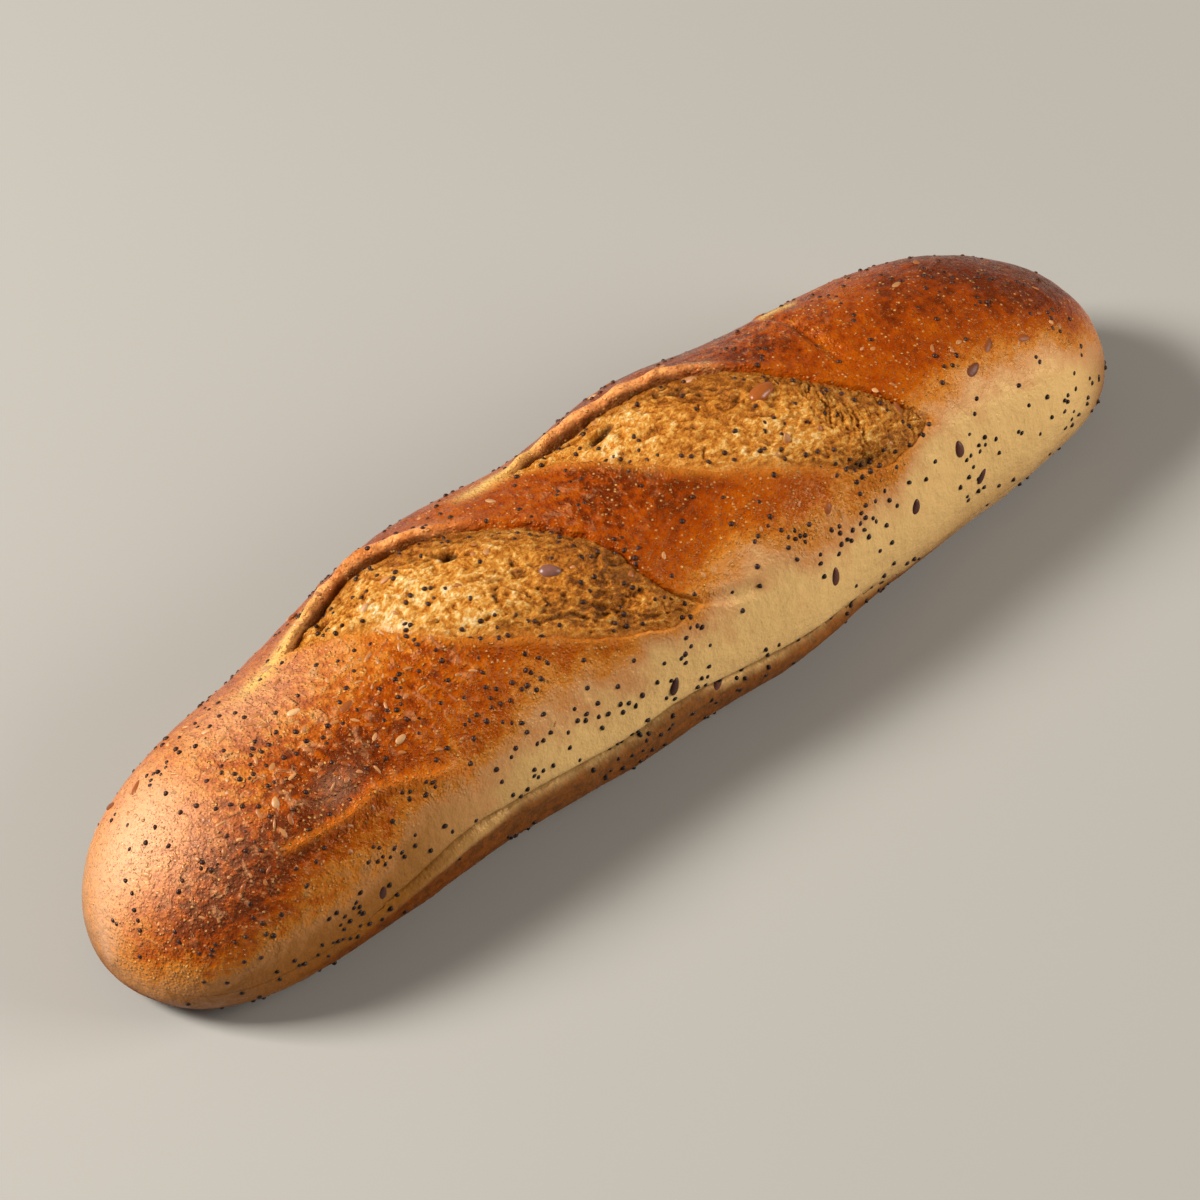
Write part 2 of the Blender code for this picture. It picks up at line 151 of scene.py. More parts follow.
# The near edge of the browned crust, as (x, angle), the angle of its far edge, and the blend at both
BROWN_EDGE_NEAR = (
    (-140, -8), (-131, 2), (-120, 12), (-102, 22), (-81, 30), (-62, 29), (-46, 33), (-25, 30), (-2, 33),
    (14, 38), (32, 33), (53, 31), (65, 36), (76, 43), (99, 48), (118, 42), (130, 22), (140, -6),
)
BROWN_EDGE_BACK = 166.0
BROWN_BLEND = 21.0

# Darker, paler, flaky and painted-highlight spots of the crust, as (x, angle, half length, half angle,
# strength)
# Most are browner crust; the two at the right tip, and in part the one low on the left end, are painted shade
DARK_AND_SHADED_PLACES = (
    (12, 92, 22, 30, 0.22), (104, 98, 26, 24, 0.18), (50, 112, 14, 12, 0.24), (-45, 148, 30, 16, 0.16),
    (42, 146, 34, 16, 0.3), (-90, 60, 16, 13, 0.3), (-80, 70, 12, 9, 0.14), (-116, 46, 16, 22, 0.34),
    (-22, 42, 16, 8, 0.1), (127, 82, 14, 30, 0.34), (122, 126, 16, 26, 0.4),
)
PALE_PLACES = (
    (-126, 116, 18, 34, 0.34), (-138, 104, 5, 40, 0.2), (-97, 124, 24, 18, 0.16), (-60, 132, 18, 12, 0.1),
    (-74, 99, 24, 16, 0.24), (-60, 86, 14, 9, 0.1), (-2, 134, 16, 9, 0.3),
)
ROUGH_PLACES = (
    (-92, 88, 28, 42, 1.0), (-60, 74, 22, 26, 0.7), (-118, 62, 18, 30, 1.0), (-126, 104, 16, 30, 0.6),
    (0, 96, 20, 20, 0.5), (60, 118, 24, 16, 0.6),
)
# Painted highlights: a pinkish-white gleam on the left end, a pale gleam where the first ear starts, a patch
# by the fold
PAINTED_HIGHLIGHT_PLACES = ((-126, 108, 16, 36, 1.0), (-90, 116, 22, 20, 0.5), (-88, 61, 5, 6, 0.3))

# Pale stretched skin where the ears begin, as lines of (x, angle) points and half widths
PALE_STREAKS = (
    (((-92, 122), (-78, 123), (-66, 128), (-56, 133)), 2.6),
    (((-22, 129), (-9, 130), (3, 134), (14, 137)), 2.4),
    (((69, 139), (73, 135), (79, 130)), 2.0),
)

# Seeds as (length, width, thickness); places as (x, angle, turn), as in the frame
KERNEL_SIZE = (7.6, 4.0, 3.0)
BIG_SEED_SIZE = (5.0, 3.2, 2.4)
LINSEED_SIZE = (4.5, 2.3, 1.3)
SESAME_SIZE = (3.1, 1.8, 1.0)
POPPY_SIZE = (1.25, 1.12, 1.1)
FLAKE_SIZE = (LINSEED_SIZE[0] * 0.45, LINSEED_SIZE[1] * 0.45, 0.5)
KERNEL_PLACES = ((48.5, 89, 10),)
BIG_SEED_PLACES = ((-19.8, 75, -35),)
LINSEED_PLACES = (
    (-117, 131, 20), (-89, 12, 75), (-75, 83, 5), (-7, 18, 60), (4.7, 5, 40), (40, 18, 80), (82, 32, 85),
    (73, 58, 70), (87, 13, 50), (94.5, 56, 15), (102, 62, 30), (112, 58, -20), (44, 41, 45), (66, 22, 70),
)
SESAME_PLACES = ((96, 107, 15), (45, 69, 80), (-96, 84, 30), (-84, 96, -15), (-101, 71, 55), (-70, 60, 10))
BACK_LINSEEDS = 14
BACK_SESAMES = 6
POPPY_SPACING = 1.2
FLAKE_SPACING = 1.6
LARGE_SEED_SPACING = 8.0
EAR_POPPIES = 34
LIP_POPPIES = 26
POPPY_CLUSTERS = 150
POPPY_SINGLES = 480
FLAKES = 300
SEED_LOWEST_Z = 2.0
SEED_RANDOM = 11

# Groups of poppy seeds that stand out, as (x, angle, count, reach)
POPPY_GROUPS = (
    (-48, 48, 11, 1.9), (-63, 74, 12, 2.6), (-98, 4, 10, 3.0), (-40, 24, 14, 6.0), (-22, 21, 14, 6.0),
    (52, 36, 12, 4.0), (50, 52, 7, 1.7), (56, 48.5, 7, 1.7), (62, 45, 6, 1.5), (33, 38, 8, 4.5),
    (86, 22, 9, 4.0), (-112, 60, 8, 5.0), (-84, 26, 9, 5.0),
)

# Each kind of seed: slot, size, its mesh's sides, rings, point and dent, how much of it stands out, how
# much sizes differ, and its glaze on brown crust
SEED_SHAPES = {
    "kernel": ("pale_seed", KERNEL_SIZE, 32, 20, 0.35, 0.0, (0.5, 0.54), 0.0, 0.0),
    "big_seed": ("linseed", BIG_SEED_SIZE, 28, 18, 0.3, 0.0, (0.6, 0.65), 0.0, 0.0),
    "linseeds": ("linseed", LINSEED_SIZE, 20, 12, 0.45, 0.0, (0.25, 0.45), 0.12, 1.3),
    "sesame_seeds": ("pale_seed", SESAME_SIZE, 16, 10, 0.4, 0.0, (0.25, 0.45), 0.15, 0.5),
    "poppy_seeds": ("poppy_seed", POPPY_SIZE, 10, 7, 0.25, 0.2, (0.25, 0.6), 0.16, 0.12),
    "seed_flakes": ("pale_seed", FLAKE_SIZE, 8, 6, 0.3, 0.5, (0.0, 0.55), 0.45, 0.7),
}

# The material of each: name, dark and light colour, roughness, size of its grain, and shine
SEED_FINISHES = {
    "kernel": ("toasted_kernel", (0.2, 0.045, 0.008), (0.36, 0.095, 0.016), 0.25, 1.0, 0.4),
    "big_seed": ("purple_seed", (0.13, 0.05, 0.035), (0.27, 0.115, 0.085), 0.3, 1.0, 0.4),
    "linseeds": ("linseed", (0.035, 0.011, 0.01), (0.11, 0.034, 0.022), 0.38, 0.6, 0.25),
    "sesame_seeds": ("pale_seed", (0.38, 0.16, 0.045), (0.68, 0.42, 0.19), 0.4, 0.5, 0.4),
    "poppy_seeds": ("poppy_seed", (0.006, 0.003, 0.003), (0.03, 0.015, 0.014), 0.3, 0.25, 0.22),
    "seed_flakes": ("seed_flake", (0.38, 0.13, 0.03), (0.72, 0.37, 0.14), 0.32, 0.5, 0.4),
}
GLAZE_COLOUR = (0.3, 0.075, 0.012)

# The crust's colours, from unbaked to dark, and those of its details, painted shade and highlights among them
PALE_CRUST = (0.72, 0.45, 0.17)
GOLD_AND_SHADE_CRUST = (0.27, 0.088, 0.006)
TAN_CRUST = (0.6, 0.285, 0.11)
ORANGE_CRUST = (0.56, 0.185, 0.02)
AMBER_CRUST = (0.41, 0.083, 0.001)
BROWN_CRUST = (0.29, 0.042, 0.001)
DARK_CRUST = (0.13, 0.017, 0.001)
BAKED_COLOURS = (
    (0.0, TAN_CRUST), (0.22, TAN_CRUST), (0.42, ORANGE_CRUST), (0.62, AMBER_CRUST), (0.84, BROWN_CRUST),
    (1.0, DARK_CRUST),
)
FOOT_AND_SHADE_COLOURS = ((0.35, (0.08, 0.016, 0.001)), (0.66, (0.22, 0.048, 0.001)))
STREAK_COLOUR = (0.74, 0.44, 0.12)
FOLD_COLOUR = (0.58, 0.15, 0.012)
CREASE_SHADE_COLOUR = (0.12, 0.042, 0.005)
GAP_SHADE_COLOUR = (0.11, 0.03, 0.005)
RIM_COLOUR = (0.92, 0.38, 0.12)
PAINTED_HIGHLIGHT_COLOUR = (0.8, 0.45, 0.27)
BLISTER_AND_GLINT_COLOUR = (0.8, 0.42, 0.13)
FLAKE_COLOUR = (0.72, 0.34, 0.15)
FRECKLE_COLOUR = (0.2, 0.055, 0.008)
SHEEN_TINT = (1.0, 0.6, 0.25, 1.0)

# The crumb's colours, from hollows to crests, partly painted shade and highlight, and those of its edges and
# holes
CRUMB_COLOURS = (
    (0.06, (0.14, 0.036, 0.003)), (0.25, (0.36, 0.1, 0.006)), (0.44, (0.56, 0.2, 0.02)),
    (0.6, (0.68, 0.33, 0.06)), (0.74, (0.82, 0.52, 0.2)), (0.9, (0.93, 0.74, 0.45)),
)
CRUMB_EAR_SHADE_COLOUR = (0.24, 0.07, 0.008)
CRUMB_LIP_COLOUR = (0.5, 0.165, 0.018)
PIT_SHADE_COLOUR = (0.1, 0.028, 0.004)
PORE_SHADE_COLOUR = (0.07, 0.024, 0.004)

# The studio, in metres and watts: lamps as (name, place, size, power)
FLOOR_SIZE = 12.0
FLOOR_COLOUR = (0.37, 0.357, 0.335)
LAMPS = (("key_light", (-0.9, 0.7, 0.95), 0.45, 37.0), ("fill_light", (0.95, -0.8, 0.6), 0.75, 15.5))
LAMP_COLOUR = (1.0, 0.96, 0.89)
SKY_COLOUR = (1.0, 0.94, 0.85, 1.0)
SKY_STRENGTH = 0.13

# The camera: the photograph's viewing angle, its distance, and where the origin shows in the image
IMAGE_SIZE = 1200
CAMERA_AZIMUTH = -40.6
CAMERA_ELEVATION = 52.0
CAMERA_DISTANCE = 1500.0
PIXELS_PER_MM = 4.442
ORIGIN_PIXEL = (592.0, 644.4)
SENSOR_WIDTH = 36.0


def ease(low, high, value):
    """A smooth rise from 0 at the low value to 1 at the high one."""
    share = np.clip((value - low) / (high - low), 0.0, 1.0)
    return share * share * (3.0 - 2.0 * share)


def catmull_rom(before, start, end, after, share):
    """The smooth curve between start and end, for shares from 0 to 1."""
    square = share * share
    return 0.5 * (
        2.0 * start
        + (end - before) * share
        + (2.0 * before - 5.0 * start + 4.0 * end - after) * square
        + (3.0 * start - before - 3.0 * end + after) * square * share
    )


def at_station(values, x):
    """A value given at the stations, read smoothly at x."""
    place = np.clip((x + LENGTH / 2) / STATION_GAP, 0.0, len(values) - 1.000001)
    index = place.astype(int)
    padded = np.array((2 * values[0] - values[1], *values, 2 * values[-1] - values[-2]))
    return catmull_rom(padded[index], padded[index + 1], padded[index + 2], padded[index + 3], place - index)


def cap_share(x):
    """1 along the loaf's body, falling to 0 at each tip on a quarter ellipse."""
    left = np.clip(1.0 - (x + LENGTH / 2) / LEFT_CAP, 0.0, 1.0)
    right = np.clip(1.0 - (LENGTH / 2 - x) / RIGHT_CAP, 0.0, 1.0)
    return np.sqrt((1.0 - left**2) * (1.0 - right**2)) ** CAP_BLUNTNESS


def base_form(x, angle):
    """The plain loaf: a full crown over a squarer base that lies flat on the ground."""
    share = np.maximum(cap_share(x), 1e-4)
    across = np.cos(np.radians(angle))
    upward = np.sin(np.radians(angle))
    tip_z = np.where(x < 0, LEFT_TIP_Z, RIGHT_TIP_Z)
    middle_z = WIDEST_Z + (tip_z - WIDEST_Z) * (1.0 - share)
    half_width = at_station(HALF_WIDTH, x) * share
    crown = (at_station(TOP_Z, x) - middle_z) * share
    base = (middle_z + BASE_SINK) * share**TIP_FLATNESS
    half_height = np.where(upward > 0, crown, base)
    power = np.where(upward > 0, CROWN_POWER, BASE_POWER)
    reach = (np.abs(across / half_width) ** power + np.abs(upward / half_height) ** power) ** (-1.0 / power)
    y = at_station(MIDDLE_Y, x) - reach * across
    z = np.maximum(middle_z + reach * upward, 0.0)
    return np.stack([x, y, z], axis=-1)


def unit(vectors):
    return vectors / np.maximum(np.linalg.norm(vectors, axis=-1, keepdims=True), 1e-9)


def skin_directions(x, angle):
    """Unit vectors along the plain loaf, round it and out of it."""
    step = 0.05
    limit = LENGTH / 2
    along = base_form(np.minimum(x + step, limit), angle) - base_form(np.maximum(x - step, -limit), angle)
    around = base_form(x, angle + step) - base_form(x, angle - step)
    return unit(along), unit(around), unit(np.cross(along, around))


def unrolled(angle):
    """Millimetres round the loaf for an angle in degrees."""
    return np.radians(angle) * ROUND_RADIUS


def rolled(around):
    """The angle in degrees for millimetres round the loaf."""
    return np.degrees(around / ROUND_RADIUS)


def mix(pair, share):
    """The number that is the given share of the way through a pair."""
    return pair[0] + (pair[1] - pair[0]) * share


def flat_place(x, around):
    """Points on the unrolled crust, laid out flat."""
    return np.stack([x, around, np.zeros(x.shape)], axis=-1)


def spots(places, x, side):
    """The strength of each soft-edged spot, and its mask, which is 1 in its middle."""
    for spot_x, spot_side, half_x, half_side, strength in places:
        yield strength, np.exp(-(((x - spot_x) / half_x) ** 2) - ((side - spot_side) / half_side) ** 2)


def smooth_curve(points, steps=10):
    """A smooth curve through (x, angle) points, on the unrolled crust."""
    knots = np.array([(x, unrolled(angle)) for x, angle in points])
    padded = np.vstack([2 * knots[0] - knots[1], knots, 2 * knots[-1] - knots[-2]])
    share = np.linspace(0.0, 1.0, steps, endpoint=False)[:, None]
    spans = [catmull_rom(*padded[index:index + 4], share) for index in range(len(knots) - 1)]
    return np.vstack([*spans, knots[-1:]])


def nearest(curve, x, around):
    """How far each place is from a curve, and the share along it at its nearest point."""
    best = np.full(x.shape, np.inf)
    share = np.zeros(x.shape)
    spans = len(curve) - 1
    for index, (start, end) in enumerate(zip(curve[:-1], curve[1:])):
        run = end - start
        part = ((x - start[0]) * run[0] + (around - start[1]) * run[1]) / (run @ run)
        part = np.clip(part, 0.0, 1.0)
        distance = np.hypot(x - start[0] - part * run[0], around - start[1] - part * run[1])
        closer = distance < best
        best = np.where(closer, distance, best)
        share = np.where(closer, (index + part) / spans, share)
    return best, share


def is_inside(outline, x, around):
    """Whether each place lies inside a closed outline."""
    inside = np.zeros(x.shape, dtype=bool)
    for start, end in zip(outline, np.roll(outline, -1, axis=0)):
        spans = (start[1] > around) != (end[1] > around)
        height = end[1] - start[1]
        if height == 0.0:
            continue
        crossing = start[0] + (around - start[1]) * (end[0] - start[0]) / height
        inside ^= spans & (x < crossing)
    return inside


def bumps(points, size, stretch=(1.0, 1.0, 1.0), seed=0.0):
    """Smooth bumps of a given size, from about -0.7 to 0.7, the same on every run."""
    scaled = points.reshape(-1, 3) / (size * np.array(stretch)) + seed
    return np.array([noise.noise(Vector(point)) for point in scaled]).reshape(points.shape[:-1])


def ridges(points, size, stretch=(1.0, 1.0, 1.0), seed=0.0):
    """Sharp crests between hollows, from 0 to 1."""
    return 1.0 - np.clip(np.abs(bumps(points, size, stretch, seed)) * 2.6, 0.0, 1.0)


class Cut:
    """One opened cut: its two edges and what lies between them."""

    def __init__(self, ear, lip):
        self.ear = smooth_curve(ear)
        self.lip = smooth_curve(lip)
        self.outline = np.vstack([self.ear, self.lip[::-1]])
        run = np.gradient(self.ear, axis=0)
        self.inward = unit(np.stack([run[:, 1], -run[:, 0]], axis=-1))

    def measure(self, x, around):
        """Distances to both edges, share along the ear, whether inside, and nearness to the ear."""
        place = flat_place(x, around)
        x = x + 0.9 * bumps(place, 6.0, seed=61.0) + 0.35 * bumps(place, 2.0, seed=63.0)
        around = around + 0.9 * bumps(place, 6.0, seed=65.0) + 0.35 * bumps(place, 2.0, seed=67.0)
        from_ear, along_ear = nearest(self.ear, x, around)
        from_lip, _ = nearest(self.lip, x, around)
        inside = is_inside(self.outline, x, around)
        ear_share = from_lip / np.maximum(from_ear + from_lip, 1e-6)
        return from_ear, from_lip, along_ear, inside, ear_share

    def inward_at(self, along_ear):
        shares = np.linspace(0.0, 1.0, len(self.inward))
        return tuple(np.interp(along_ear, shares, part) for part in self.inward.T)


LEFT_CUT = Cut(LEFT_EAR, LEFT_LIP)
RIGHT_CUT = Cut(RIGHT_EAR, RIGHT_LIP)
CUTS = (LEFT_CUT, RIGHT_CUT)


def fullness(height):
    """How fully an ear has lifted: 0 where it lies flush, 1 where it is a thick rim."""
    return np.clip(height / EAR_FULL_HEIGHT, 0.0, 1.0)


def ear_section(inward, height, depth):
    """How far the skin moves into the cut, and how high it stands, by distance inward at an ear."""
    outside = inward - EAR_CENTRE
    rim = 0.65 * np.exp(-((outside / EAR_RIM_WIDTH) ** 2))
    slope = height * (rim + 0.35 * np.exp(-((outside / EAR_SLOPE_WIDTH) ** 2)))
    radius = mix((EDGE_ROUND, EAR_ROUND), fullness(height))
    roll_end = EAR_CENTRE + 1.6 * radius
    turn = np.radians(90.0 - EAR_TURN * np.clip((inward - EAR_CENTRE) / (roll_end - EAR_CENTRE), 0.0, 1.0))
    roll_x = EAR_CENTRE + radius * np.cos(turn)
    roll_z = height - radius + radius * np.sin(turn)
    down = ease(roll_end, roll_end + 1.3, inward)
    catch_up = ease(roll_end + 0.6, roll_end + 3.0, inward)
    under_x = roll_x + (inward - roll_x) * catch_up
    under_z = roll_z + (-depth - roll_z) * down
    shift = np.where(inward < EAR_CENTRE, 0.0, under_x - inward)
    rise = np.where(inward < EAR_CENTRE, slope, under_z)
    return shift, rise


def lip_section(inward, depth):
    """How high the near lip stands: a low rolled edge that turns down into the cut."""
    outer = LIP_HEIGHT * np.exp(-((np.minimum(inward, 0.0) / LIP_WIDTH) ** 2))
    return outer + (-depth - outer) * ease(0.0, LIP_WALL, inward)


def ear_height(along_ear, x, around):
    """How high an ear stands, with the unevenness of torn dough."""
    uneven = bumps(flat_place(x, around), 6.0, seed=71.0)
    return np.interp(along_ear, EAR_SHARES, EAR_HEIGHTS) * (1.0 + 0.45 * uneven)


def cut_skin(cut, x, around):
    """What a cut does to the crust: its shift in x and round the loaf, and its rise."""
    from_ear, from_lip, along_ear, inside, ear_share = cut.measure(x, around)
    height = ear_height(along_ear, x, around)
    side = np.where(inside, 1.0, -1.0)
    depth = POCKET_DEPTH * ease(0.0, POCKET_FULL_WIDTH, from_ear + from_lip)
    shift, ear_rise = ear_section(side * from_ear, height, depth)
    lip_rise = lip_section(side * from_lip, depth)
    rise = ear_share * ear_rise + (1.0 - ear_share) * lip_rise
    inward_x, inward_around = cut.inward_at(along_ear)
    shift = shift * ear_share * ease(0.2, 1.5, height)
    return shift * inward_x, shift * inward_around, rise


def faded(share, first, last):
    """0 at a line's two ends and 1 between, rising over the first and last shares of its length."""
    return ease(0.0, first, share) * ease(0.0, last, 1.0 - share)


def foot_line(points, x, fade_in=1.0, fade_out=1.0):
    """Where a foot crease runs round the loaf at x, and 1 along it, falling to 0 at its ends."""
    curve = smooth_curve(points)
    start, end = curve[[0, -1], 0]
    along = ease(start, start + fade_in, x) * ease(-end, fade_out - end, -x)
    return np.interp(x, curve[:, 0], curve[:, 1]), along


def crease_relief(x, around):
    """Folds, creases, the bulging band along the foot, and the step at the cut that baked shut."""
    total = np.zeros(x.shape)
    for points, height, half_width in CREASES:
        distance, share = nearest(smooth_curve(points), x, around)
        total += height * faded(share, 0.12, 0.12) * np.exp(-((distance / half_width) ** 2))
    for points, below in ((FOOT_CREASE, 1.0), (BACK_FOOT_CREASE, -1.0)):
        line, along = foot_line(points, x, FOOT_BAND_FADE, FOOT_BAND_FADE)
        drop = below * (line - around)
        band = FOOT_BAND_HEIGHT * along * ease(0.0, 1.5, drop)
        total += band * (1 - ease(3.0, FOOT_BAND_DROP, drop))
    distance, share = nearest(smooth_curve(SHUT_CUT), x, around)
    left_of_it = ease(0.5, 2.0, np.interp(around, *smooth_curve(SHUT_CUT)[::-1, ::-1].T) - x)
    step = SHUT_CUT_STEP * faded(share, 0.1, 0.3) * left_of_it
    return total + step * np.exp(-((distance / SHUT_CUT_REACH) ** 2))


def dents(places, x, around):
    total = np.zeros(x.shape)
    for dent_x, dent_angle, half_length, half_width, depth in places:
        off_x = (x - dent_x) / half_length
        off_round = (around - unrolled(dent_angle)) / half_width
        total -= depth * np.exp(-((off_x**2 + off_round**2) ** 1.5))
    return total


def common_relief(x, around, plain):
    return crease_relief(x, around) + LUMP_HEIGHT * bumps(plain, LUMP_SIZE) + dents(CRUST_DENTS, x, around)


def crust_points(x, angle):
    """Points on the crust, with the pockets that hold the crumb and the ears rolled over their edges."""
    around = unrolled(angle)
    plain = base_form(x, angle)
    along_dir, round_dir, out_dir = skin_directions(x, angle)
    rise = common_relief(x, around, plain)
    shift_x = shift_round = np.zeros(x.shape)
    for cut in CUTS:
        cut_x, cut_round, cut_rise = cut_skin(cut, x, around)
        shift_x = shift_x + cut_x
        shift_round = shift_round + cut_round
        rise += cut_rise
    brown = browning(x, angle, plain)
    rise += 0.16 * bumps(plain, 5.0) + 0.10 * brown * bumps(plain, 1.9, seed=31.0)
    free = ease(0.0, BASE_BLEND_Z, plain[:, 2]) * ease(0.0, TIP_BLEND_SHARE, cap_share(x))
    moved = out_dir * rise[:, None] + along_dir * shift_x[:, None] + round_dir * shift_round[:, None]
    points = plain + moved * free[:, None]
    points[:, 2] = np.maximum(points[:, 2], 0.0)
    return points


def browning(x, angle, plain):
    """How brown the crust is, from 0 on the pale flanks to 1 on the darkest domes."""
    edge = np.interp(x, *np.array(BROWN_EDGE_NEAR).T)
    wander = 9.0 * bumps(plain, 16.0, seed=5.0) + 5.0 * bumps(plain, 6.0, seed=9.0)
    past = np.maximum((-x - LENGTH / 2 + LEFT_CAP) / LEFT_CAP, (x - LENGTH / 2 + RIGHT_CAP) / RIGHT_CAP)
    past = np.clip(past, 0.0, 1.0)
    size = np.sqrt(1.0 - past * past)
    side = -size * np.cos(np.radians(angle))
    climb = np.degrees(np.arcsin(np.clip(size * np.sin(np.radians(angle)), -1.0, 1.0)))
    near = 0.5 - 0.5 * side / np.maximum(np.hypot(side, past), 1e-6)
    back_edge = 180.0 - BROWN_EDGE_BACK
    low = near * (edge - BROWN_BLEND * 0.75) + (1.0 - near) * (back_edge - BROWN_BLEND)
    high = near * (edge + BROWN_BLEND * 1.25) + (1.0 - near) * (back_edge + BROWN_BLEND)
    baked = ease(low, high, climb + wander * (2.0 * near - 1.0))
    level = 0.74 * baked
    # Darker spots add to the browning, at the right tip as painted shade; paler spots take from it
    for places, sign in ((DARK_AND_SHADED_PLACES, 1.0), (PALE_PLACES, -1.0)):
        for strength, spot in spots(places, x, angle):
            level += sign * strength * spot * baked
    level += 0.12 * bumps(plain, 9.0, seed=3.0) * baked
    return np.clip(level, 0.0, 1.0)


def streaks(x, around):
    """The pale stretched skin where the ears begin."""
    total = np.zeros(x.shape)
    for points, half_width in PALE_STREAKS:
        distance, share = nearest(smooth_curve(points), x, around)
        total = np.maximum(total, faded(share, 0.2, 0.2) * np.exp(-((distance / half_width) ** 2)))
    return total


def crease_line(x, around):
    """Millimetres above or below the nearer foot crease, and beyond 3 past its ends."""
    total = np.full(x.shape, 9.0)
    for points in (FOOT_CREASE, BACK_FOOT_CREASE):
        line, along = foot_line(points, x, 14.0, 40.0)
        distance = around - line
        distance = distance + (1.0 - along) * np.where(distance > 0.0, 3.0, -3.0)
        total = np.where(np.abs(distance) < np.abs(total), distance, total)
    return total


def foot_band_and_shade_mask(x, around, plain):
    """The browner band under the foot creases, the bottom edge and the underside, darkened past their baked
    brown as painted shade near the ground.
    """
    front_edge, _ = foot_line(FOOT_CREASE, x)
    back_edge, _ = foot_line(BACK_FOOT_CREASE, x)
    wander = 2.0 * bumps(plain, 11.0, seed=21.0) + 1.0 * bumps(plain, 3.0, seed=23.0)
    below_front = front_edge - around + wander * 0.5 - 3.5 * ease(45.0, 72.0, -x)
    over_front = ease(-0.6, 1.6, below_front)
    over_back = ease(-0.6, 1.6, around - back_edge + wander * 0.5)
    # Low by the ground: baked bottom, darkened further as painted shade
    low = 1.0 - ease(3.0, 8.0, plain[:, 2] + wander * 1.6)
    beyond = ease(62.0, 90.0, x) + ease(97.0, 120.0, -x)
    band = np.maximum(over_front, over_back) * (1.0 - np.clip(beyond, 0.0, 1.0))
    return np.clip(np.maximum(band * 0.9, low), 0.0, 1.0)


def crumb_height(cut, x, around, plain):
    """How high the torn crumb stands over the plain loaf."""
    from_ear, from_lip, along_ear, inside, ear_share = cut.measure(x, around)
    wide = np.clip((from_ear + from_lip) / CRUMB_FULL_WIDTH, 0.0, 1.0)
    bulge = CRUMB_BULGE * 4.0 * ear_share * (1.0 - ear_share) * wide
    full = fullness(ear_height(along_ear, x, around))
    foot = mix(CRUMB_FOOT_DEPTH, full) * np.exp(-from_ear / mix(CRUMB_FOOT_WIDTH, full))
    outside = np.where(inside, 0.0, np.minimum(from_ear, from_lip))
    tuck = CRUMB_TUCK_DEPTH * ease(0.0, CRUMB_TUCK, outside)
    torn, _ = torn_texture(x, around)
    calm = ease(0.0, 2.5, np.where(inside, np.minimum(from_lip, from_ear + 1.2), 0.0)) * 0.8 + 0.2
    rise = common_relief(x, around, plain) + bulge - foot - CRUMB_SINK
    return rise + torn * calm - tuck + dents(PORES, x, around) * inside


def torn_texture(x, around):
    """The crumb's crags and strands in millimetres, and how pale each place is painted: paler on the torn
    crests and darker in the pits, partly as painted highlight and shade.
    """
    turn = math.radians(CRUMB_GRAIN_TURN)
    along = x * math.cos(turn) + around * math.sin(turn)
    across = around * math.cos(turn) - x * math.sin(turn)
    place = flat_place(along, across)
    bent = place + 1.3 * flat_place(bumps(place, 3.4, seed=73.0), bumps(place, 3.4, seed=79.0))
    strands = ease(44.0, 58.0, x)
    broad = bumps(place, 8.0, (1.7, 1.0, 1.0), 41.0)
    flakes = ridges(bent, 3.0, (1.9, 0.75, 1.0), 43.0)
    threads = ridges(bent, 1.8, (0.5, 3.4, 1.0), 47.0)
    crest = flakes * (1.0 - strands) + threads * strands
    rough = 0.55 + 0.9 * ease(-0.25, 0.35, bumps(place, 9.0, seed=57.0))
    small = bumps(bent, 1.4, (1.3, 0.9, 1.0), 53.0) + 0.58 * bumps(bent, 0.7, (1.3, 0.9, 1.0), 70.0)
    pits = ease(0.4, 0.62, bumps(bent, 1.6, (1.5, 0.9, 1.0), 59.0))
    height = 1.0 * broad + rough * (0.55 * (crest - 0.5) + 0.4 * small) - 0.7 * pits
    return height, np.clip(0.6 * crest + 0.8 * small + 0.3 - pits, 0.0, 1.0)


def crumb_points(cut, x, angle):
    around = unrolled(angle)
    plain = base_form(x, angle)
    _, _, out_dir = skin_directions(x, angle)
    rise = crumb_height(cut, x, around, plain)
    return plain + out_dir * rise[:, None]


def x_along(share):
    """X for a share of the way from tip to tip, with places closer towards each tip."""
    cap = 0.2
    left = np.clip(share / cap, 0.0, 1.0) * math.pi / 2
    right = np.clip((1.0 - share) / cap, 0.0, 1.0) * math.pi / 2
    body = np.clip((share - cap) / (1.0 - 2.0 * cap), 0.0, 1.0) * (LENGTH - LEFT_CAP - RIGHT_CAP)
    return -LENGTH / 2 + LEFT_CAP * (1.0 - np.cos(left)) + body + RIGHT_CAP * np.cos(right)


def read_places(mesh):
    """X and angle of each point of a mesh laid out on a tube."""
    places = np.array([vertex.co for vertex in mesh.verts])
    angle = 180.0 - np.degrees(np.arctan2(places[:, 2], places[:, 1]))
    return places[:, 0], np.mod(angle + 90.0, 360.0) - 90.0


def refine(mesh, reach):
    """Splits the edges near the cuts' ears and lips in two."""
    x, angle = read_places(mesh)
    around = unrolled(angle)
    distance = np.full(x.shape, np.inf)
    for cut in CUTS:
        from_ear, _ = nearest(cut.ear, x, around)
        from_lip, _ = nearest(cut.lip, x, around)
        distance = np.minimum(distance, np.minimum(from_ear, from_lip + reach * 0.35))
    mesh.verts.ensure_lookup_table()
    mesh.verts.index_update()
    close = distance < reach
    edges = [edge for edge in mesh.edges if close[edge.verts[0].index] and close[edge.verts[1].index]]
    bmesh.ops.subdivide_edges(mesh, edges=edges, cuts=1, use_grid_fill=True)


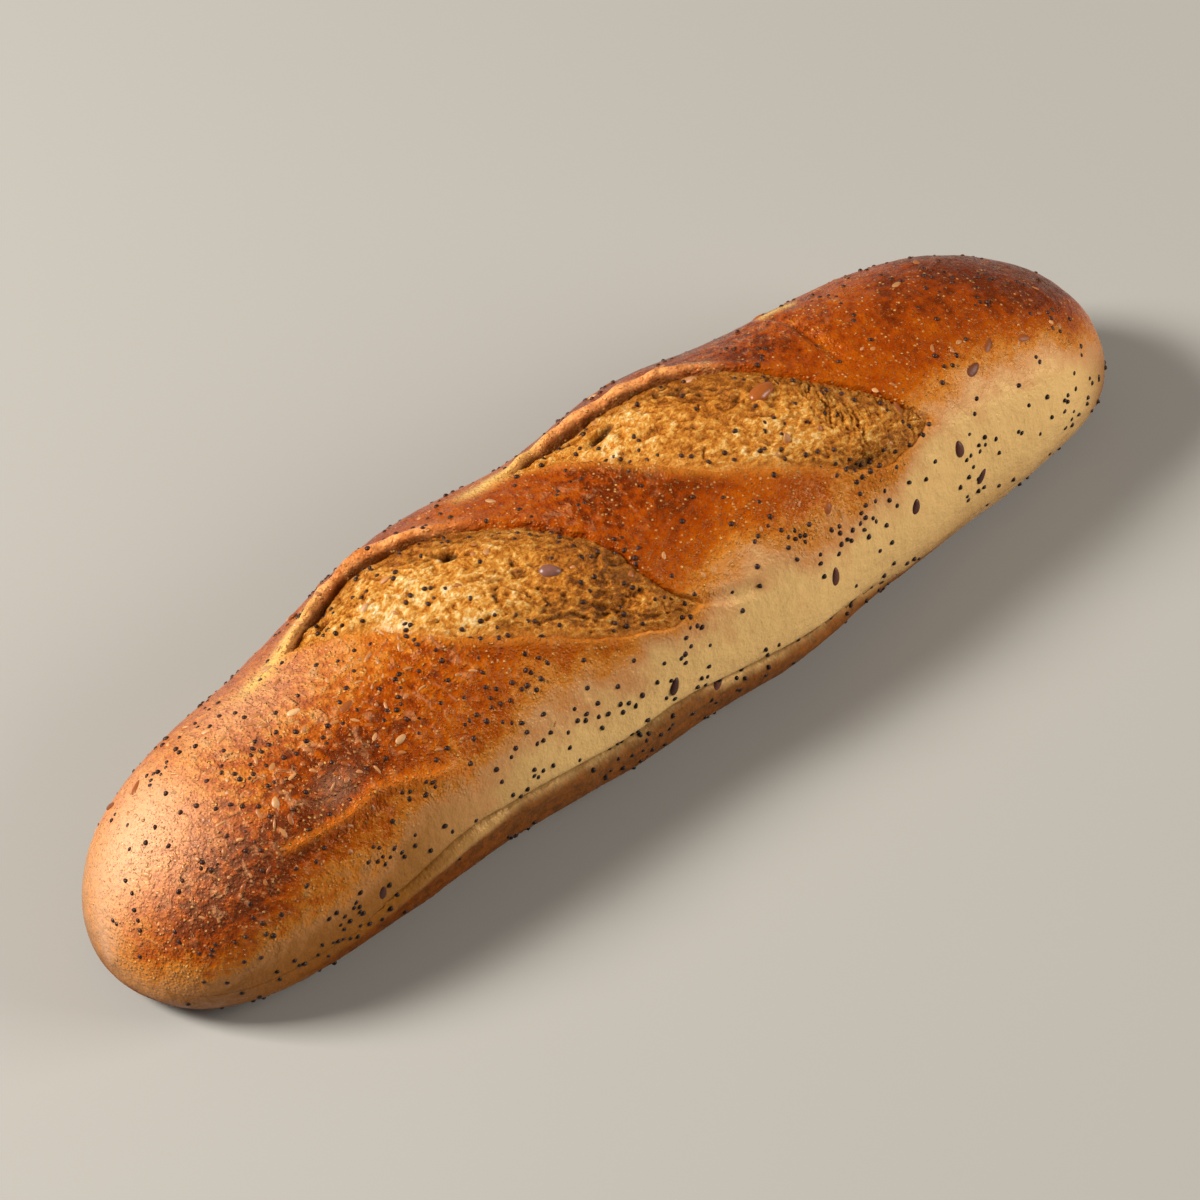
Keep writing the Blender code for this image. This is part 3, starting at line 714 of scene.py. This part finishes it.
def add_values(mesh, values):
    """Writes named numbers on the mesh's points, for its material."""
    for name, numbers in values.items():
        layer = mesh.attributes.new(name, "FLOAT_VECTOR" if numbers.ndim == 2 else "FLOAT", "POINT")
        layer.data.foreach_set("vector" if numbers.ndim == 2 else "value", numbers.astype(np.float32).ravel())


def new_object(name, mesh, finish):
    mesh.materials.append(finish)
    made = bpy.data.objects.new(name, mesh)
    bpy.context.scene.collection.objects.link(made)
    return made


def build_crust(finish):
    """The crust as one closed skin, finer on the crown and finest at the cuts' edges."""
    ball = bmesh.new()
    bmesh.ops.create_uvsphere(ball, u_segments=CRUST_ROUND, v_segments=CRUST_ALONG, radius=1.0)
    places = np.array([vertex.co for vertex in ball.verts])
    share = 1.0 - np.arccos(np.clip(places[:, 2], -1.0, 1.0)) / math.pi
    turn = np.mod(np.arctan2(places[:, 1], places[:, 0]) / (2 * math.pi), 1.0)
    angle = np.interp(turn, (0.0, CROWN_SHARE, 1.0), (CROWN_TO, CROWN_FROM, CROWN_TO - 360.0))
    tube = np.stack([
        x_along(share),
        np.cos(np.radians(180.0 - angle)) * ROUND_RADIUS,
        np.sin(np.radians(180.0 - angle)) * ROUND_RADIUS,
    ], axis=-1)
    for vertex, point in zip(ball.verts, tube):
        vertex.co = point
    refine(ball, FINE_REACH)
    refine(ball, FINEST_REACH)
    x, angle = read_places(ball)
    x = np.clip(x, -LENGTH / 2, LENGTH / 2)
    points = crust_points(x, angle)
    for vertex, point in zip(ball.verts, points * MM):
        vertex.co = point
    bmesh.ops.recalc_face_normals(ball, faces=ball.faces)
    mesh = bpy.data.meshes.new("crust")
    ball.to_mesh(mesh)
    ball.free()
    mesh.shade_smooth()
    plain = base_form(x, angle)
    around = unrolled(angle)
    rim, toast, gap_shade = edge_masks(x, around)
    from_fold, _ = nearest(smooth_curve(LEFT_FOLD), x, around)
    add_values(mesh, {
        "brown": browning(x, angle, plain),
        "streak": streaks(x, around),
        "foot": foot_band_and_shade_mask(x, around, plain),
        "crease": crease_line(x, around),
        "gold_and_shade": gold_and_shade_mask(x, plain),
        "rough": spot_mask(ROUGH_PLACES, x, angle),
        "painted_highlight": spot_mask(PAINTED_HIGHLIGHT_PLACES, x, angle),
        "rim": rim,
        "toast": toast,
        "fold": np.exp(-((from_fold / 1.3) ** 2)),
        "gap_shade": gap_shade,
        "place": flat_place(x, around) * MM,
    })
    return new_object("crust", mesh, finish)


def spot_mask(places, x, angle):
    """The strongest of the soft-edged spots at each place."""
    return np.max([strength * spot for strength, spot in spots(places, x, angle)], axis=0)


def gold_and_shade_mask(x, plain):
    """Where the pale skin is a deeper golden brown: low on the flanks and towards both ends, where it is
    partly painted shade.
    """
    wander = 3.0 * bumps(plain, 12.0, seed=27.0)
    low = 1.0 - ease(5.0, 20.0, plain[:, 2] + wander)
    left = ease(30.0, 105.0, -x + wander)
    # At the right tip this darkening is painted shade
    right = ease(118.0, 138.0, x + wander)
    return np.clip(0.38 * low + 0.9 * left + 0.8 * right, 0.0, 1.0)


def edge_masks(x, around):
    """The ears' rolled rims, the toasted near lips, and painted shade on the skin that turns down into the
    cuts.
    """
    rim = toast = gap_shade = np.zeros(x.shape)
    for cut in CUTS:
        from_ear, from_lip, along_ear, inside, _ = cut.measure(x, around)
        height = ear_height(along_ear, x, around)
        side = np.where(inside, from_ear, -from_ear)
        band = ease(-4.5, -1.5, side) * (1.0 - ease(2.6, 3.6, side))
        rim = np.maximum(rim, band * ease(0.6, 2.2, height))
        toast = np.maximum(toast, np.exp(-((from_lip / 1.5) ** 2)))
        gap_shade = np.maximum(gap_shade, inside * ease(0.5, 1.4, from_ear) * ease(0.4, 1.2, from_lip))
    return rim, toast, gap_shade


def build_crumb(name, cut, finish):
    """The crumb of one cut: a patch from ear to lip whose rim is tucked under the crust."""
    shares = np.linspace(0.0, 1.0, CRUMB_STEPS_ALONG + 1)
    ear_line = even_points(cut.ear, shares)
    lip_line = even_points(cut.lip, shares)
    span = lip_line - ear_line
    width = np.linalg.norm(span, axis=-1, keepdims=True)
    middle = len(shares) // 2
    direction = np.where(width > 0.5, span / np.maximum(width, 1e-6), 0.0)
    direction[0] = direction[-1] = span[middle] / width[middle]
    across = np.linspace(0.0, 1.0, CRUMB_STEPS_ACROSS + 1)[None, :, None]
    reach = width[:, None, :] + 2.0 * CRUMB_TUCK
    places = ear_line[:, None, :] + direction[:, None, :] * (across * reach - CRUMB_TUCK)
    x = places[..., 0].ravel()
    around = places[..., 1].ravel()
    points = crumb_points(cut, x, rolled(around))
    columns = CRUMB_STEPS_ACROSS + 1
    faces = [
        (row * columns + column, (row + 1) * columns + column,
         (row + 1) * columns + column + 1, row * columns + column + 1)
        for row in range(CRUMB_STEPS_ALONG)
        for column in range(CRUMB_STEPS_ACROSS)
    ]
    mesh = bpy.data.meshes.new(name)
    mesh.from_pydata((points * MM).tolist(), [], faces)
    torn, crest = torn_texture(x, around)
    _, from_lip, _, _, ear_share = cut.measure(x, around)
    add_values(mesh, {
        "crest": crest,
        "torn": torn,
        "ear_share": ear_share,
        "pore_shade": -dents(PORES, x, around),
        "tone": crumb_tone(x, around),
        "lip": np.exp(-((from_lip / 1.6) ** 1.5)),
        "place": flat_place(x, around) * MM,
    })
    close_underneath(mesh)
    mesh.shade_smooth()
    return new_object(name, mesh, finish)


def crumb_tone(x, around):
    """How pale each stretch of the crumb is, below zero where it is browner."""
    places = [(spot_x, unrolled(angle), *rest) for spot_x, angle, *rest in CRUMB_TONES]
    return sum(strength * spot for strength, spot in spots(places, x, around))


def even_points(curve, shares):
    """Points at even steps along a curve."""
    lengths = np.concatenate([[0.0], np.cumsum(np.linalg.norm(np.diff(curve, axis=0), axis=-1))])
    targets = shares * lengths[-1]
    return np.stack([np.interp(targets, lengths, part) for part in curve.T], axis=-1)


def close_underneath(mesh):
    """Closes the crumb's patch with an underside inside the loaf."""
    patch = bmesh.new()
    patch.from_mesh(mesh)
    rim = [edge for edge in patch.edges if edge.is_boundary]
    grown = bmesh.ops.extrude_edge_only(patch, edges=rim)["geom"]
    for vertex in (item for item in grown if isinstance(item, bmesh.types.BMVert)):
        vertex.co.z -= 2.0 * MM
        vertex.co.y *= 0.97
    lower = [edge for edge in patch.edges if edge.is_boundary]
    bmesh.ops.holes_fill(patch, edges=lower, sides=0)
    bmesh.ops.recalc_face_normals(patch, faces=patch.faces)
    patch.to_mesh(mesh)
    patch.free()


def one_place(x, angle):
    return np.array([float(x)]), np.array([float(angle)])


def seed_template(size, sides, rings, point, dent):
    """Points and faces of one seed: a ball drawn to a drop and dented along its side."""
    seed = bmesh.new()
    bmesh.ops.create_uvsphere(seed, u_segments=sides, v_segments=rings, radius=0.5)
    bmesh.ops.rotate(seed, verts=seed.verts, matrix=Matrix.Rotation(math.radians(90), 3, "Y"))
    seed.verts.ensure_lookup_table()
    points = np.array([vertex.co for vertex in seed.verts])
    taper = 1.0 - point * points[:, 0]
    points[:, 1] = points[:, 1] * taper + dent * (0.25 - points[:, 0] ** 2)
    points = points * np.array(size)
    faces = [[vertex.index for vertex in face.verts] for face in seed.faces]
    seed.free()
    return points, faces


class Surface:
    """The finished crust and crumb, to set seeds on."""

    def __init__(self, *objects):
        points = []
        faces = []
        for thing in objects:
            start = len(points)
            points.extend(vertex.co.copy() for vertex in thing.data.vertices)
            faces.extend([start + index for index in face.vertices] for face in thing.data.polygons)
        self.tree = BVHTree.FromPolygons(points, faces)

    def at(self, x, angle):
        """The surface's point at a place, in metres, and the way out of it."""
        place = one_place(x, angle)
        plain = Vector(base_form(*place)[0])
        out = Vector(skin_directions(*place)[2][0])
        hit, normal, _, _ = self.tree.ray_cast((plain + out * 15.0) * MM, -out)
        if hit is None:
            return plain * MM, out
        if normal.dot(out) < 0.0:
            normal = -normal
        return hit, (normal + out * 0.6).normalized()


def scatter(name, template, places, surface, finish, chance, stands_out, spread, glaze):
    """One mesh of many seeds, each set into the surface with its own turn, tilt and size."""
    points, faces = template
    thickness = (points[:, 2].max() - points[:, 2].min()) * MM
    all_points = []
    all_faces = []
    shades = []
    glazed = []
    for x, angle, turn in places:
        spot, out = surface.at(x, angle)
        size = np.array([1.0 + chance.uniform(-spread, spread) for _ in range(3)])
        tilt = Vector([chance.gauss(0.0, 0.12) for _ in range(3)])
        up = (out + tilt).normalized()
        along = Vector((1.0, 0.0, 0.0))
        along = (along - up * along.dot(up)).normalized()
        along = Matrix.Rotation(math.radians(turn), 3, up) @ along
        turned = np.array([along, up.cross(along), up])
        brown = browning_at(x, angle)
        depth = chance.uniform(*stands_out) - 0.5 - 0.14 * brown
        centre = np.array(spot) + np.array(out) * thickness * depth
        start = len(all_points) * len(points)
        all_points.append(points * MM * size @ turned + centre)
        all_faces.extend([start + index for index in face] for face in faces)
        shades.extend([chance.random()] * len(points))
        glazed.extend([min(1.0, glaze * brown * chance.uniform(0.4, 1.6))] * len(points))
    mesh = bpy.data.meshes.new(name)
    mesh.from_pydata(np.vstack(all_points).tolist(), [], all_faces)
    mesh.shade_smooth()
    add_values(mesh, {"shade": np.array(shades), "glazed": np.array(glazed)})
    return new_object(name, mesh, finish)


def browning_at(x, angle):
    place = one_place(x, angle)
    return browning(*place, base_form(*place))[0]


def height_at(x, angle):
    return base_form(*one_place(x, angle))[0, 2]


def random_place(chance, low_angle, high_angle):
    """A random place on the crust, with as many for each stretch of skin and clear of the ground."""
    while True:
        x = chance.uniform(-LENGTH / 2 + 2, LENGTH / 2 - 2)
        angle = chance.uniform(low_angle, high_angle)
        fits = chance.random() < cap_share(np.array([x]))[0]
        if fits and height_at(x, angle) > SEED_LOWEST_Z:
            return x, angle


def is_free(x, angle, taken, spacing):
    around = unrolled(angle)
    return all(math.hypot(x - other_x, around - unrolled(other)) > spacing for other_x, other in taken)


def poppy_places(chance, taken):
    """Poppy seeds in loose clusters, thickest on the flanks, with single ones between."""
    places = []

    def add(x, angle):
        in_range = abs(x) < LENGTH / 2 - 1.5 and -30.0 < angle < 212.0
        clear = in_range and height_at(x, angle) > SEED_LOWEST_Z
        if clear and is_free(x, angle, taken, POPPY_SPACING):
            places.append((x, angle, chance.uniform(0, 360)))
            taken.append((x, angle))

    for x, angle, count, reach in POPPY_GROUPS:
        for _ in range(count):
            add(x + chance.gauss(0, reach), angle + float(rolled(chance.gauss(0, reach * 0.8))))
    for cut in CUTS:
        for line, count, inward in ((cut.ear, EAR_POPPIES, 1.0), (cut.lip, LIP_POPPIES, -1.0)):
            for _ in range(count):
                share = chance.uniform(0.08, 0.97)
                x, around = even_points(line, np.array([share]))[0]
                way_x, way_around = cut.inward_at(share)
                off = inward * chance.uniform(1.8, 5.0)
                add(x + way_x * off, float(rolled(around + way_around * off)))
    for _ in range(POPPY_SINGLES):
        add(*random_place(chance, -28, 208))
    for _ in range(POPPY_CLUSTERS):
        x, angle = random_place(chance, -25, 205)
        crown = math.exp(-(((angle - 90) / 38) ** 2))
        if chance.random() < 0.45 * crown:
            continue
        reach = chance.uniform(1.2, 5.0)
        slant = chance.uniform(0, math.pi)
        for _ in range(chance.randint(2, 7)):
            run = chance.gauss(0, reach)
            side = chance.gauss(0, reach * 0.5)
            off_x = run * math.cos(slant) - side * math.sin(slant)
            off_round = run * math.sin(slant) + side * math.cos(slant)
            add(x + off_x, angle + float(rolled(off_round)))
    return places


def scattered(count, spacing, low_angle, high_angle, taken, chance):
    places = []
    while len(places) < count:
        x, angle = random_place(chance, low_angle, high_angle)
        if is_free(x, angle, taken, spacing):
            places.append((x, angle, chance.uniform(-90, 90)))
            taken.append((x, angle))
    return places


def flake_places(chance, taken):
    """Flakes of pale seed, thickest on the left end's crown."""
    places = []
    while len(places) < FLAKES:
        if chance.random() < 0.7:
            x = chance.gauss(-92, 22)
            angle = chance.gauss(84, 26)
        else:
            x, angle = random_place(chance, 45, 175)
        inside = abs(x) < LENGTH / 2 - 6 and 30 < angle < 185
        if inside and is_free(x, angle, taken, FLAKE_SPACING):
            places.append((x, angle, chance.uniform(-90, 90)))
            taken.append((x, angle))
    return places


class Nodes:
    """Short names for the shader nodes of one material."""

    def __init__(self, name):
        self.material = bpy.data.materials.new(name)
        self.material.use_nodes = True
        self.tree = self.material.node_tree
        self.shader = self.tree.nodes["Principled BSDF"]

    def plug(self, socket, value):
        if isinstance(value, (int, float)):
            socket.default_value = value
        elif isinstance(value, tuple):
            socket.default_value = value if len(value) == len(socket.default_value) else (*value, 1.0)
        else:
            self.tree.links.new(value, socket)

    def fill(self, node, inputs):
        """Sets or links a node's inputs by name, with an underscore for each space."""
        for name, value in inputs.items():
            self.plug(node.inputs[name.replace("_", " ")], value)
        return node

    def add(self, kind, **inputs):
        return self.fill(self.tree.nodes.new("ShaderNode" + kind), inputs)

    def finish(self, **inputs):
        self.fill(self.shader, inputs)
        return self.material

    def attribute(self, name, output="Fac"):
        node = self.add("Attribute")
        node.attribute_name = name
        return node.outputs[output]

    def coordinates(self):
        return self.add("TexCoord").outputs["Object"]

    def stretched(self, vector, scale):
        return self.add("Mapping", Vector=vector, Scale=scale).outputs["Vector"]

    def noise(self, vector, size_mm, detail=2.0, roughness=0.5, distortion=0.0):
        node = self.add("TexNoise", Vector=vector, Scale=1.0 / (size_mm * MM), Detail=detail,
                        Roughness=roughness, Distortion=distortion)
        return node.outputs["Fac"]

    def cells(self, vector, size_mm):
        return self.add("TexVoronoi", Vector=vector, Scale=1.0 / (size_mm * MM)).outputs

    def red(self, colour):
        return self.add("SeparateColor", Color=colour).outputs["Red"]

    def math(self, operation, *values, clamp=False):
        node = self.add("Math")
        node.operation = operation
        node.use_clamp = clamp
        for socket, value in zip(node.inputs, values):
            self.plug(socket, value)
        return node.outputs[0]

    def times(self, first, second, more=0.0, clamp=False):
        """The first value times the second, plus more."""
        return self.math("MULTIPLY_ADD", first, second, more, clamp=clamp)

    def span(self, value, low, high, to_low=0.0, to_high=1.0):
        """A smooth step between two results as the value goes from low to high."""
        node = self.add("MapRange", Value=value, From_Min=low, From_Max=high, To_Min=to_low, To_Max=to_high)
        node.interpolation_type = "SMOOTHSTEP"
        return node.outputs["Result"]

    def ramp(self, value, stops):
        node = self.add("ValToRGB", Fac=value)
        elements = node.color_ramp.elements
        while len(elements) < len(stops):
            elements.new(0.5)
        for element, (position, colour) in zip(elements, stops):
            element.position = position
            element.color = (*colour, 1.0)
        return node.outputs["Color"]

    def mix(self, share, first, second):
        node = self.add("Mix")
        node.data_type = "RGBA"
        for index, value in ((0, share), (6, first), (7, second)):
            self.plug(node.inputs[index], value)
        return node.outputs[2]

    def layers(self, colour, *layers):
        """The colour with others over it, each given by its mask, the mask's strength and its colour."""
        for mask, strength, over in layers:
            colour = self.mix(self.times(mask, strength), colour, over)
        return colour

    def relief(self, *layers):
        """Bump on bump, each given by its height, its depth in millimetres and its strength."""
        normal = None
        for height, depth, strength in layers:
            node = self.add("Bump", Height=height, Distance=depth * MM, Strength=strength)
            if normal is not None:
                self.plug(node.inputs["Normal"], normal)
            normal = node.outputs["Normal"]
        return normal



def crust_material():
    n = Nodes("baked_crust")
    spot = n.coordinates()
    brown = n.attribute("brown")
    rough = n.attribute("rough")
    gold_and_shade = n.attribute("gold_and_shade")
    foot = n.attribute("foot")
    mottle = n.noise(spot, 6.0, 4.0, 0.62)
    crag = n.noise(spot, 2.2, 2.5, 0.55)
    uneven = n.times(rough, 0.7, n.span(brown, 0.1, 0.5, 0.1, 0.3))
    level = n.times(mottle, 0.34, brown)
    # Paler on the crags' raised bits and darker in their hollows: painted highlight and shade, following the
    # crag bump
    level = n.times(n.times(n.math("SUBTRACT", 0.5, crag), uneven), 1.7, level)
    level = n.math("SUBTRACT", level, 0.17, clamp=True)
    # The pale skin turns a deeper golden brown low down and towards the ends, there partly as painted shade
    pale = n.mix(gold_and_shade, PALE_CRUST, GOLD_AND_SHADE_CRUST)
    colour = n.mix(n.span(level, 0.0, 0.26), pale, n.ramp(level, BAKED_COLOURS))
    ochre = n.span(level, 0.15, 0.5, 0.8, 0.0)
    foot_and_shade_mottle = n.ramp(n.noise(spot, 2.0, 4.0, 0.65), FOOT_AND_SHADE_COLOURS)
    apart = n.math("SUBTRACT", n.attribute("crease"), 0.4)
    apart = n.math("ABSOLUTE", n.times(n.noise(spot, 2.5, 2.0), 0.8, apart))
    colour = n.layers(
        colour,
        (gold_and_shade, ochre, GOLD_AND_SHADE_CRUST),
        # The foot band and underside: baked brown, partly painted shade
        (foot, 1.0, foot_and_shade_mottle),
        # A dark line along the foot creases: painted shade in the groove
        (n.span(apart, 0.1, 0.75, 0.6, 0.0), 1.0, CREASE_SHADE_COLOUR),
        # Painted highlight on the left end and near the first ear
        (n.attribute("painted_highlight"), 0.75, PAINTED_HIGHLIGHT_COLOUR),
        (n.attribute("rim"), n.span(mottle, 0.35, 0.65, 0.25, 0.95), RIM_COLOUR),
        (n.attribute("toast"), 0.6, ORANGE_CRUST),
        (n.attribute("fold"), 0.75, FOLD_COLOUR),
        (n.attribute("streak"), 0.9, STREAK_COLOUR),
        # Painted shade where the crust turns down under the crumb
        (n.attribute("gap_shade"), 0.85, GAP_SHADE_COLOUR),
    )

    # Pale blisters on the brown crust, partly painted glints
    cells = n.cells(spot, 1.15)
    blister = n.span(cells["Distance"], 0.12, 0.38, 1.0, 0.0)
    blister = n.times(blister, n.span(n.noise(spot, 4.0, 3.0, 0.6), 0.4, 0.6))
    blister = n.times(blister, n.span(n.red(cells["Color"]), 0.35, 0.6))
    blister = n.times(blister, n.span(brown, 0.12, 0.45))
    # Bright specks on the brown crust: painted glints
    speck = n.times(n.span(n.noise(spot, 0.55, 2.0, 0.6), 0.6, 0.7), n.span(brown, 0.2, 0.5))
    flake = n.span(n.noise(n.stretched(spot, (1.0, 0.7, 1.0)), 2.6, 2.0, 0.5, 0.8), 0.54, 0.7)
    flake = n.times(flake, rough)
    freckle = n.span(n.noise(spot, 0.8, 3.0, 0.7), 0.6, 0.7)
    colour = n.layers(
        colour,
        (blister, 0.8, BLISTER_AND_GLINT_COLOUR),
        (speck, 0.3, BLISTER_AND_GLINT_COLOUR),
        (flake, 0.5, FLAKE_COLOUR),
        (freckle, 0.15, FRECKLE_COLOUR),
    )

    lines = n.noise(n.stretched(n.attribute("place", "Vector"), (1.0, 0.12, 1.0)), 1.3, 2.0, 0.5, 0.4)
    pebbles = n.span(n.cells(spot, 0.8)["Distance"], 0.0, 0.6, 1.0, 0.0)
    normal = n.relief(
        (n.times(lines, n.span(brown, 0.1, 0.5, 1.0, 0.2)), 0.22, 0.4),
        (n.noise(spot, 3.2, 3.0, 0.55), 0.9, 0.6),
        (n.span(apart, 0.0, 0.9), 0.45, 0.8),
        (n.times(crag, uneven), 1.9, 1.0),
        (n.times(pebbles, n.span(brown, 0.1, 0.5, 0.25, 1.0)), 0.16, 1.0),
        (n.math("ADD", blister, speck), 0.32, 1.0),
        (flake, 0.35, 0.9),
    )
    roughness = n.times(foot, 0.45, n.span(n.noise(spot, 1.6, 3.0), 0.35, 0.7, 0.2, 0.4))
    return n.finish(Base_Color=colour, Normal=normal, Roughness=roughness, Specular_IOR_Level=0.22,
                    Specular_Tint=SHEEN_TINT)


def crumb_material():
    n = Nodes("torn_crumb")
    spot = n.coordinates()
    place = n.attribute("place", "Vector")
    fine = n.noise(spot, 0.65, 4.0, 0.68)
    fibre = n.noise(n.stretched(place, (0.4, 1.0, 1.0)), 0.7, 3.0, 0.65, 1.0)
    speck = n.noise(n.stretched(place, (0.7, 1.0, 1.0)), 1.4, 5.0, 0.75, 0.8)
    cells = n.cells(n.stretched(place, (0.55, 1.0, 1.0)), 0.62)
    facet = n.red(cells["Color"])
    # Paler on the torn crests, partly painted highlight; the noises below add tone at random
    level = n.times(n.attribute("crest"), 0.26, n.times(fine, 0.5))
    for part, share in (
        (n.noise(spot, 5.0, 4.0, 0.62), 0.6), (speck, 1.1), (facet, 0.24), (n.attribute("tone"), 0.8),
    ):
        level = n.times(part, share, level)
    level = n.times(level, 1.1, -1.12, clamp=True)
    colour = n.layers(
        n.ramp(level, CRUMB_COLOURS),
        # Darker towards the ear: painted shade under it
        (n.span(n.attribute("ear_share"), 0.55, 1.0, 0.0, 0.6), 1.0, CRUMB_EAR_SHADE_COLOUR),
        (n.attribute("lip"), 0.8, CRUMB_LIP_COLOUR),
        # Painted shade in the crumb's pits and pores
        (n.span(n.attribute("torn"), -1.2, -0.35, 0.8, 0.0), 1.0, PIT_SHADE_COLOUR),
        (n.span(n.attribute("pore_shade"), 1.0, 1.9, 0.0, 0.92), 1.0, PORE_SHADE_COLOUR),
    )
    normal = n.relief(
        (fibre, 0.4, 0.9),
        (n.times(facet, n.span(cells["Distance"], 0.2, 0.5, 1.0, 0.4)), 0.3, 0.8),
        (fine, 0.45, 0.9),
    )
    return n.finish(Base_Color=colour, Normal=normal, Roughness=n.span(fine, 0.3, 0.7, 0.16, 0.36),
                    Specular_IOR_Level=0.5, Specular_Tint=SHEEN_TINT)


def seed_material(name, dark, light, roughness, grain_mm, shine):
    n = Nodes(name)
    grain = n.noise(n.coordinates(), grain_mm, 3.0, 0.6)
    share = n.times(n.attribute("shade"), 0.6, n.times(grain, 0.5), clamp=True)
    colour = n.ramp(share, ((0.15, dark), (0.85, light)))
    colour = n.layers(colour, (n.attribute("glazed"), 1.0, GLAZE_COLOUR))
    return n.finish(Base_Color=colour, Normal=n.relief((grain, 0.1, 0.8)), Roughness=roughness,
                    Specular_IOR_Level=shine)


def build_seeds(surface):
    """Every kind of seed as one piece, the largest first."""
    chance = random.Random(SEED_RANDOM)
    taken = [(x, angle) for x, angle, _ in KERNEL_PLACES + BIG_SEED_PLACES + LINSEED_PLACES + SESAME_PLACES]
    linseeds = scattered(BACK_LINSEEDS, LARGE_SEED_SPACING, 135, 200, taken, chance)
    sesames = scattered(BACK_SESAMES, LARGE_SEED_SPACING, 100, 190, taken, chance)
    places = {
        "kernel": KERNEL_PLACES,
        "big_seed": BIG_SEED_PLACES,
        "linseeds": LINSEED_PLACES + tuple(linseeds),
        "sesame_seeds": SESAME_PLACES + tuple(sesames),
        "poppy_seeds": poppy_places(chance, taken),
        "seed_flakes": flake_places(chance, taken),
    }
    seeds = []
    for name, (slot, size, sides, rings, point, dent, *setting) in SEED_SHAPES.items():
        template = seed_template(size, sides, rings, point, dent)
        finish = seed_material(*SEED_FINISHES[name])
        seeds.append((scatter(name, template, places[name], surface, finish, chance, *setting), slot))
    return seeds


def build_floor():
    bpy.ops.mesh.primitive_plane_add(size=FLOOR_SIZE, location=(0.0, 0.0, 0.0))
    floor = bpy.context.active_object
    floor.name = "floor"
    floor.data.materials.append(Nodes("pale_floor").finish(Base_Color=FLOOR_COLOUR, Roughness=0.85))


def add_object(name, data, place, turn):
    thing = bpy.data.objects.new(name, data)
    bpy.context.scene.collection.objects.link(thing)
    thing.location = place
    thing.rotation_mode = "QUATERNION"
    thing.rotation_quaternion = turn
    return thing


def build_light():
    """Square lamps that face the loaf, and a faint sky."""
    for name, place, size, watts in LAMPS:
        data = bpy.data.lights.new(name, "AREA")
        data.shape = "SQUARE"
        data.size = size
        data.energy = watts
        data.color = LAMP_COLOUR
        add_object(name, data, place, Vector(place).to_track_quat("Z", "Y"))
    world = bpy.data.worlds.new("studio")
    world.use_nodes = True
    sky = world.node_tree.nodes["Background"]
    sky.inputs["Color"].default_value = SKY_COLOUR
    sky.inputs["Strength"].default_value = SKY_STRENGTH
    bpy.context.scene.world = world
    bpy.context.scene.view_settings.view_transform = "Standard"


def build_camera():
    azimuth = math.radians(CAMERA_AZIMUTH)
    elevation = math.radians(CAMERA_ELEVATION)
    back = Vector((math.sin(azimuth) * math.cos(elevation), -math.cos(azimuth) * math.cos(elevation),
                   math.sin(elevation)))
    right = Vector((math.cos(azimuth), math.sin(azimuth), 0.0))
    up = back.cross(right)
    off_right = (IMAGE_SIZE / 2 - ORIGIN_PIXEL[0]) / PIXELS_PER_MM
    off_up = (ORIGIN_PIXEL[1] - IMAGE_SIZE / 2) / PIXELS_PER_MM
    data = bpy.data.cameras.new("camera")
    data.sensor_width = SENSOR_WIDTH
    data.lens = SENSOR_WIDTH * PIXELS_PER_MM * CAMERA_DISTANCE / IMAGE_SIZE
    data.clip_end = 20.0
    place = (right * off_right + up * off_up + back * CAMERA_DISTANCE) * MM
    camera = add_object("camera", data, place, (-back).to_track_quat("-Z", "Y"))
    bpy.context.scene.camera = camera


build_camera()
crust = build_crust(crust_material())
crumb_finish = crumb_material()
left_crumb = build_crumb("left_crumb", LEFT_CUT, crumb_finish)
right_crumb = build_crumb("right_crumb", RIGHT_CUT, crumb_finish)
seeds = build_seeds(Surface(crust, left_crumb, right_crumb))
pieces = [(crust, "crust"), (left_crumb, "crumb"), (right_crumb, "crumb"), *seeds]
for piece, slot in pieces:
    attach(piece, "root")
    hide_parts("loaf")
build_floor()
build_light()
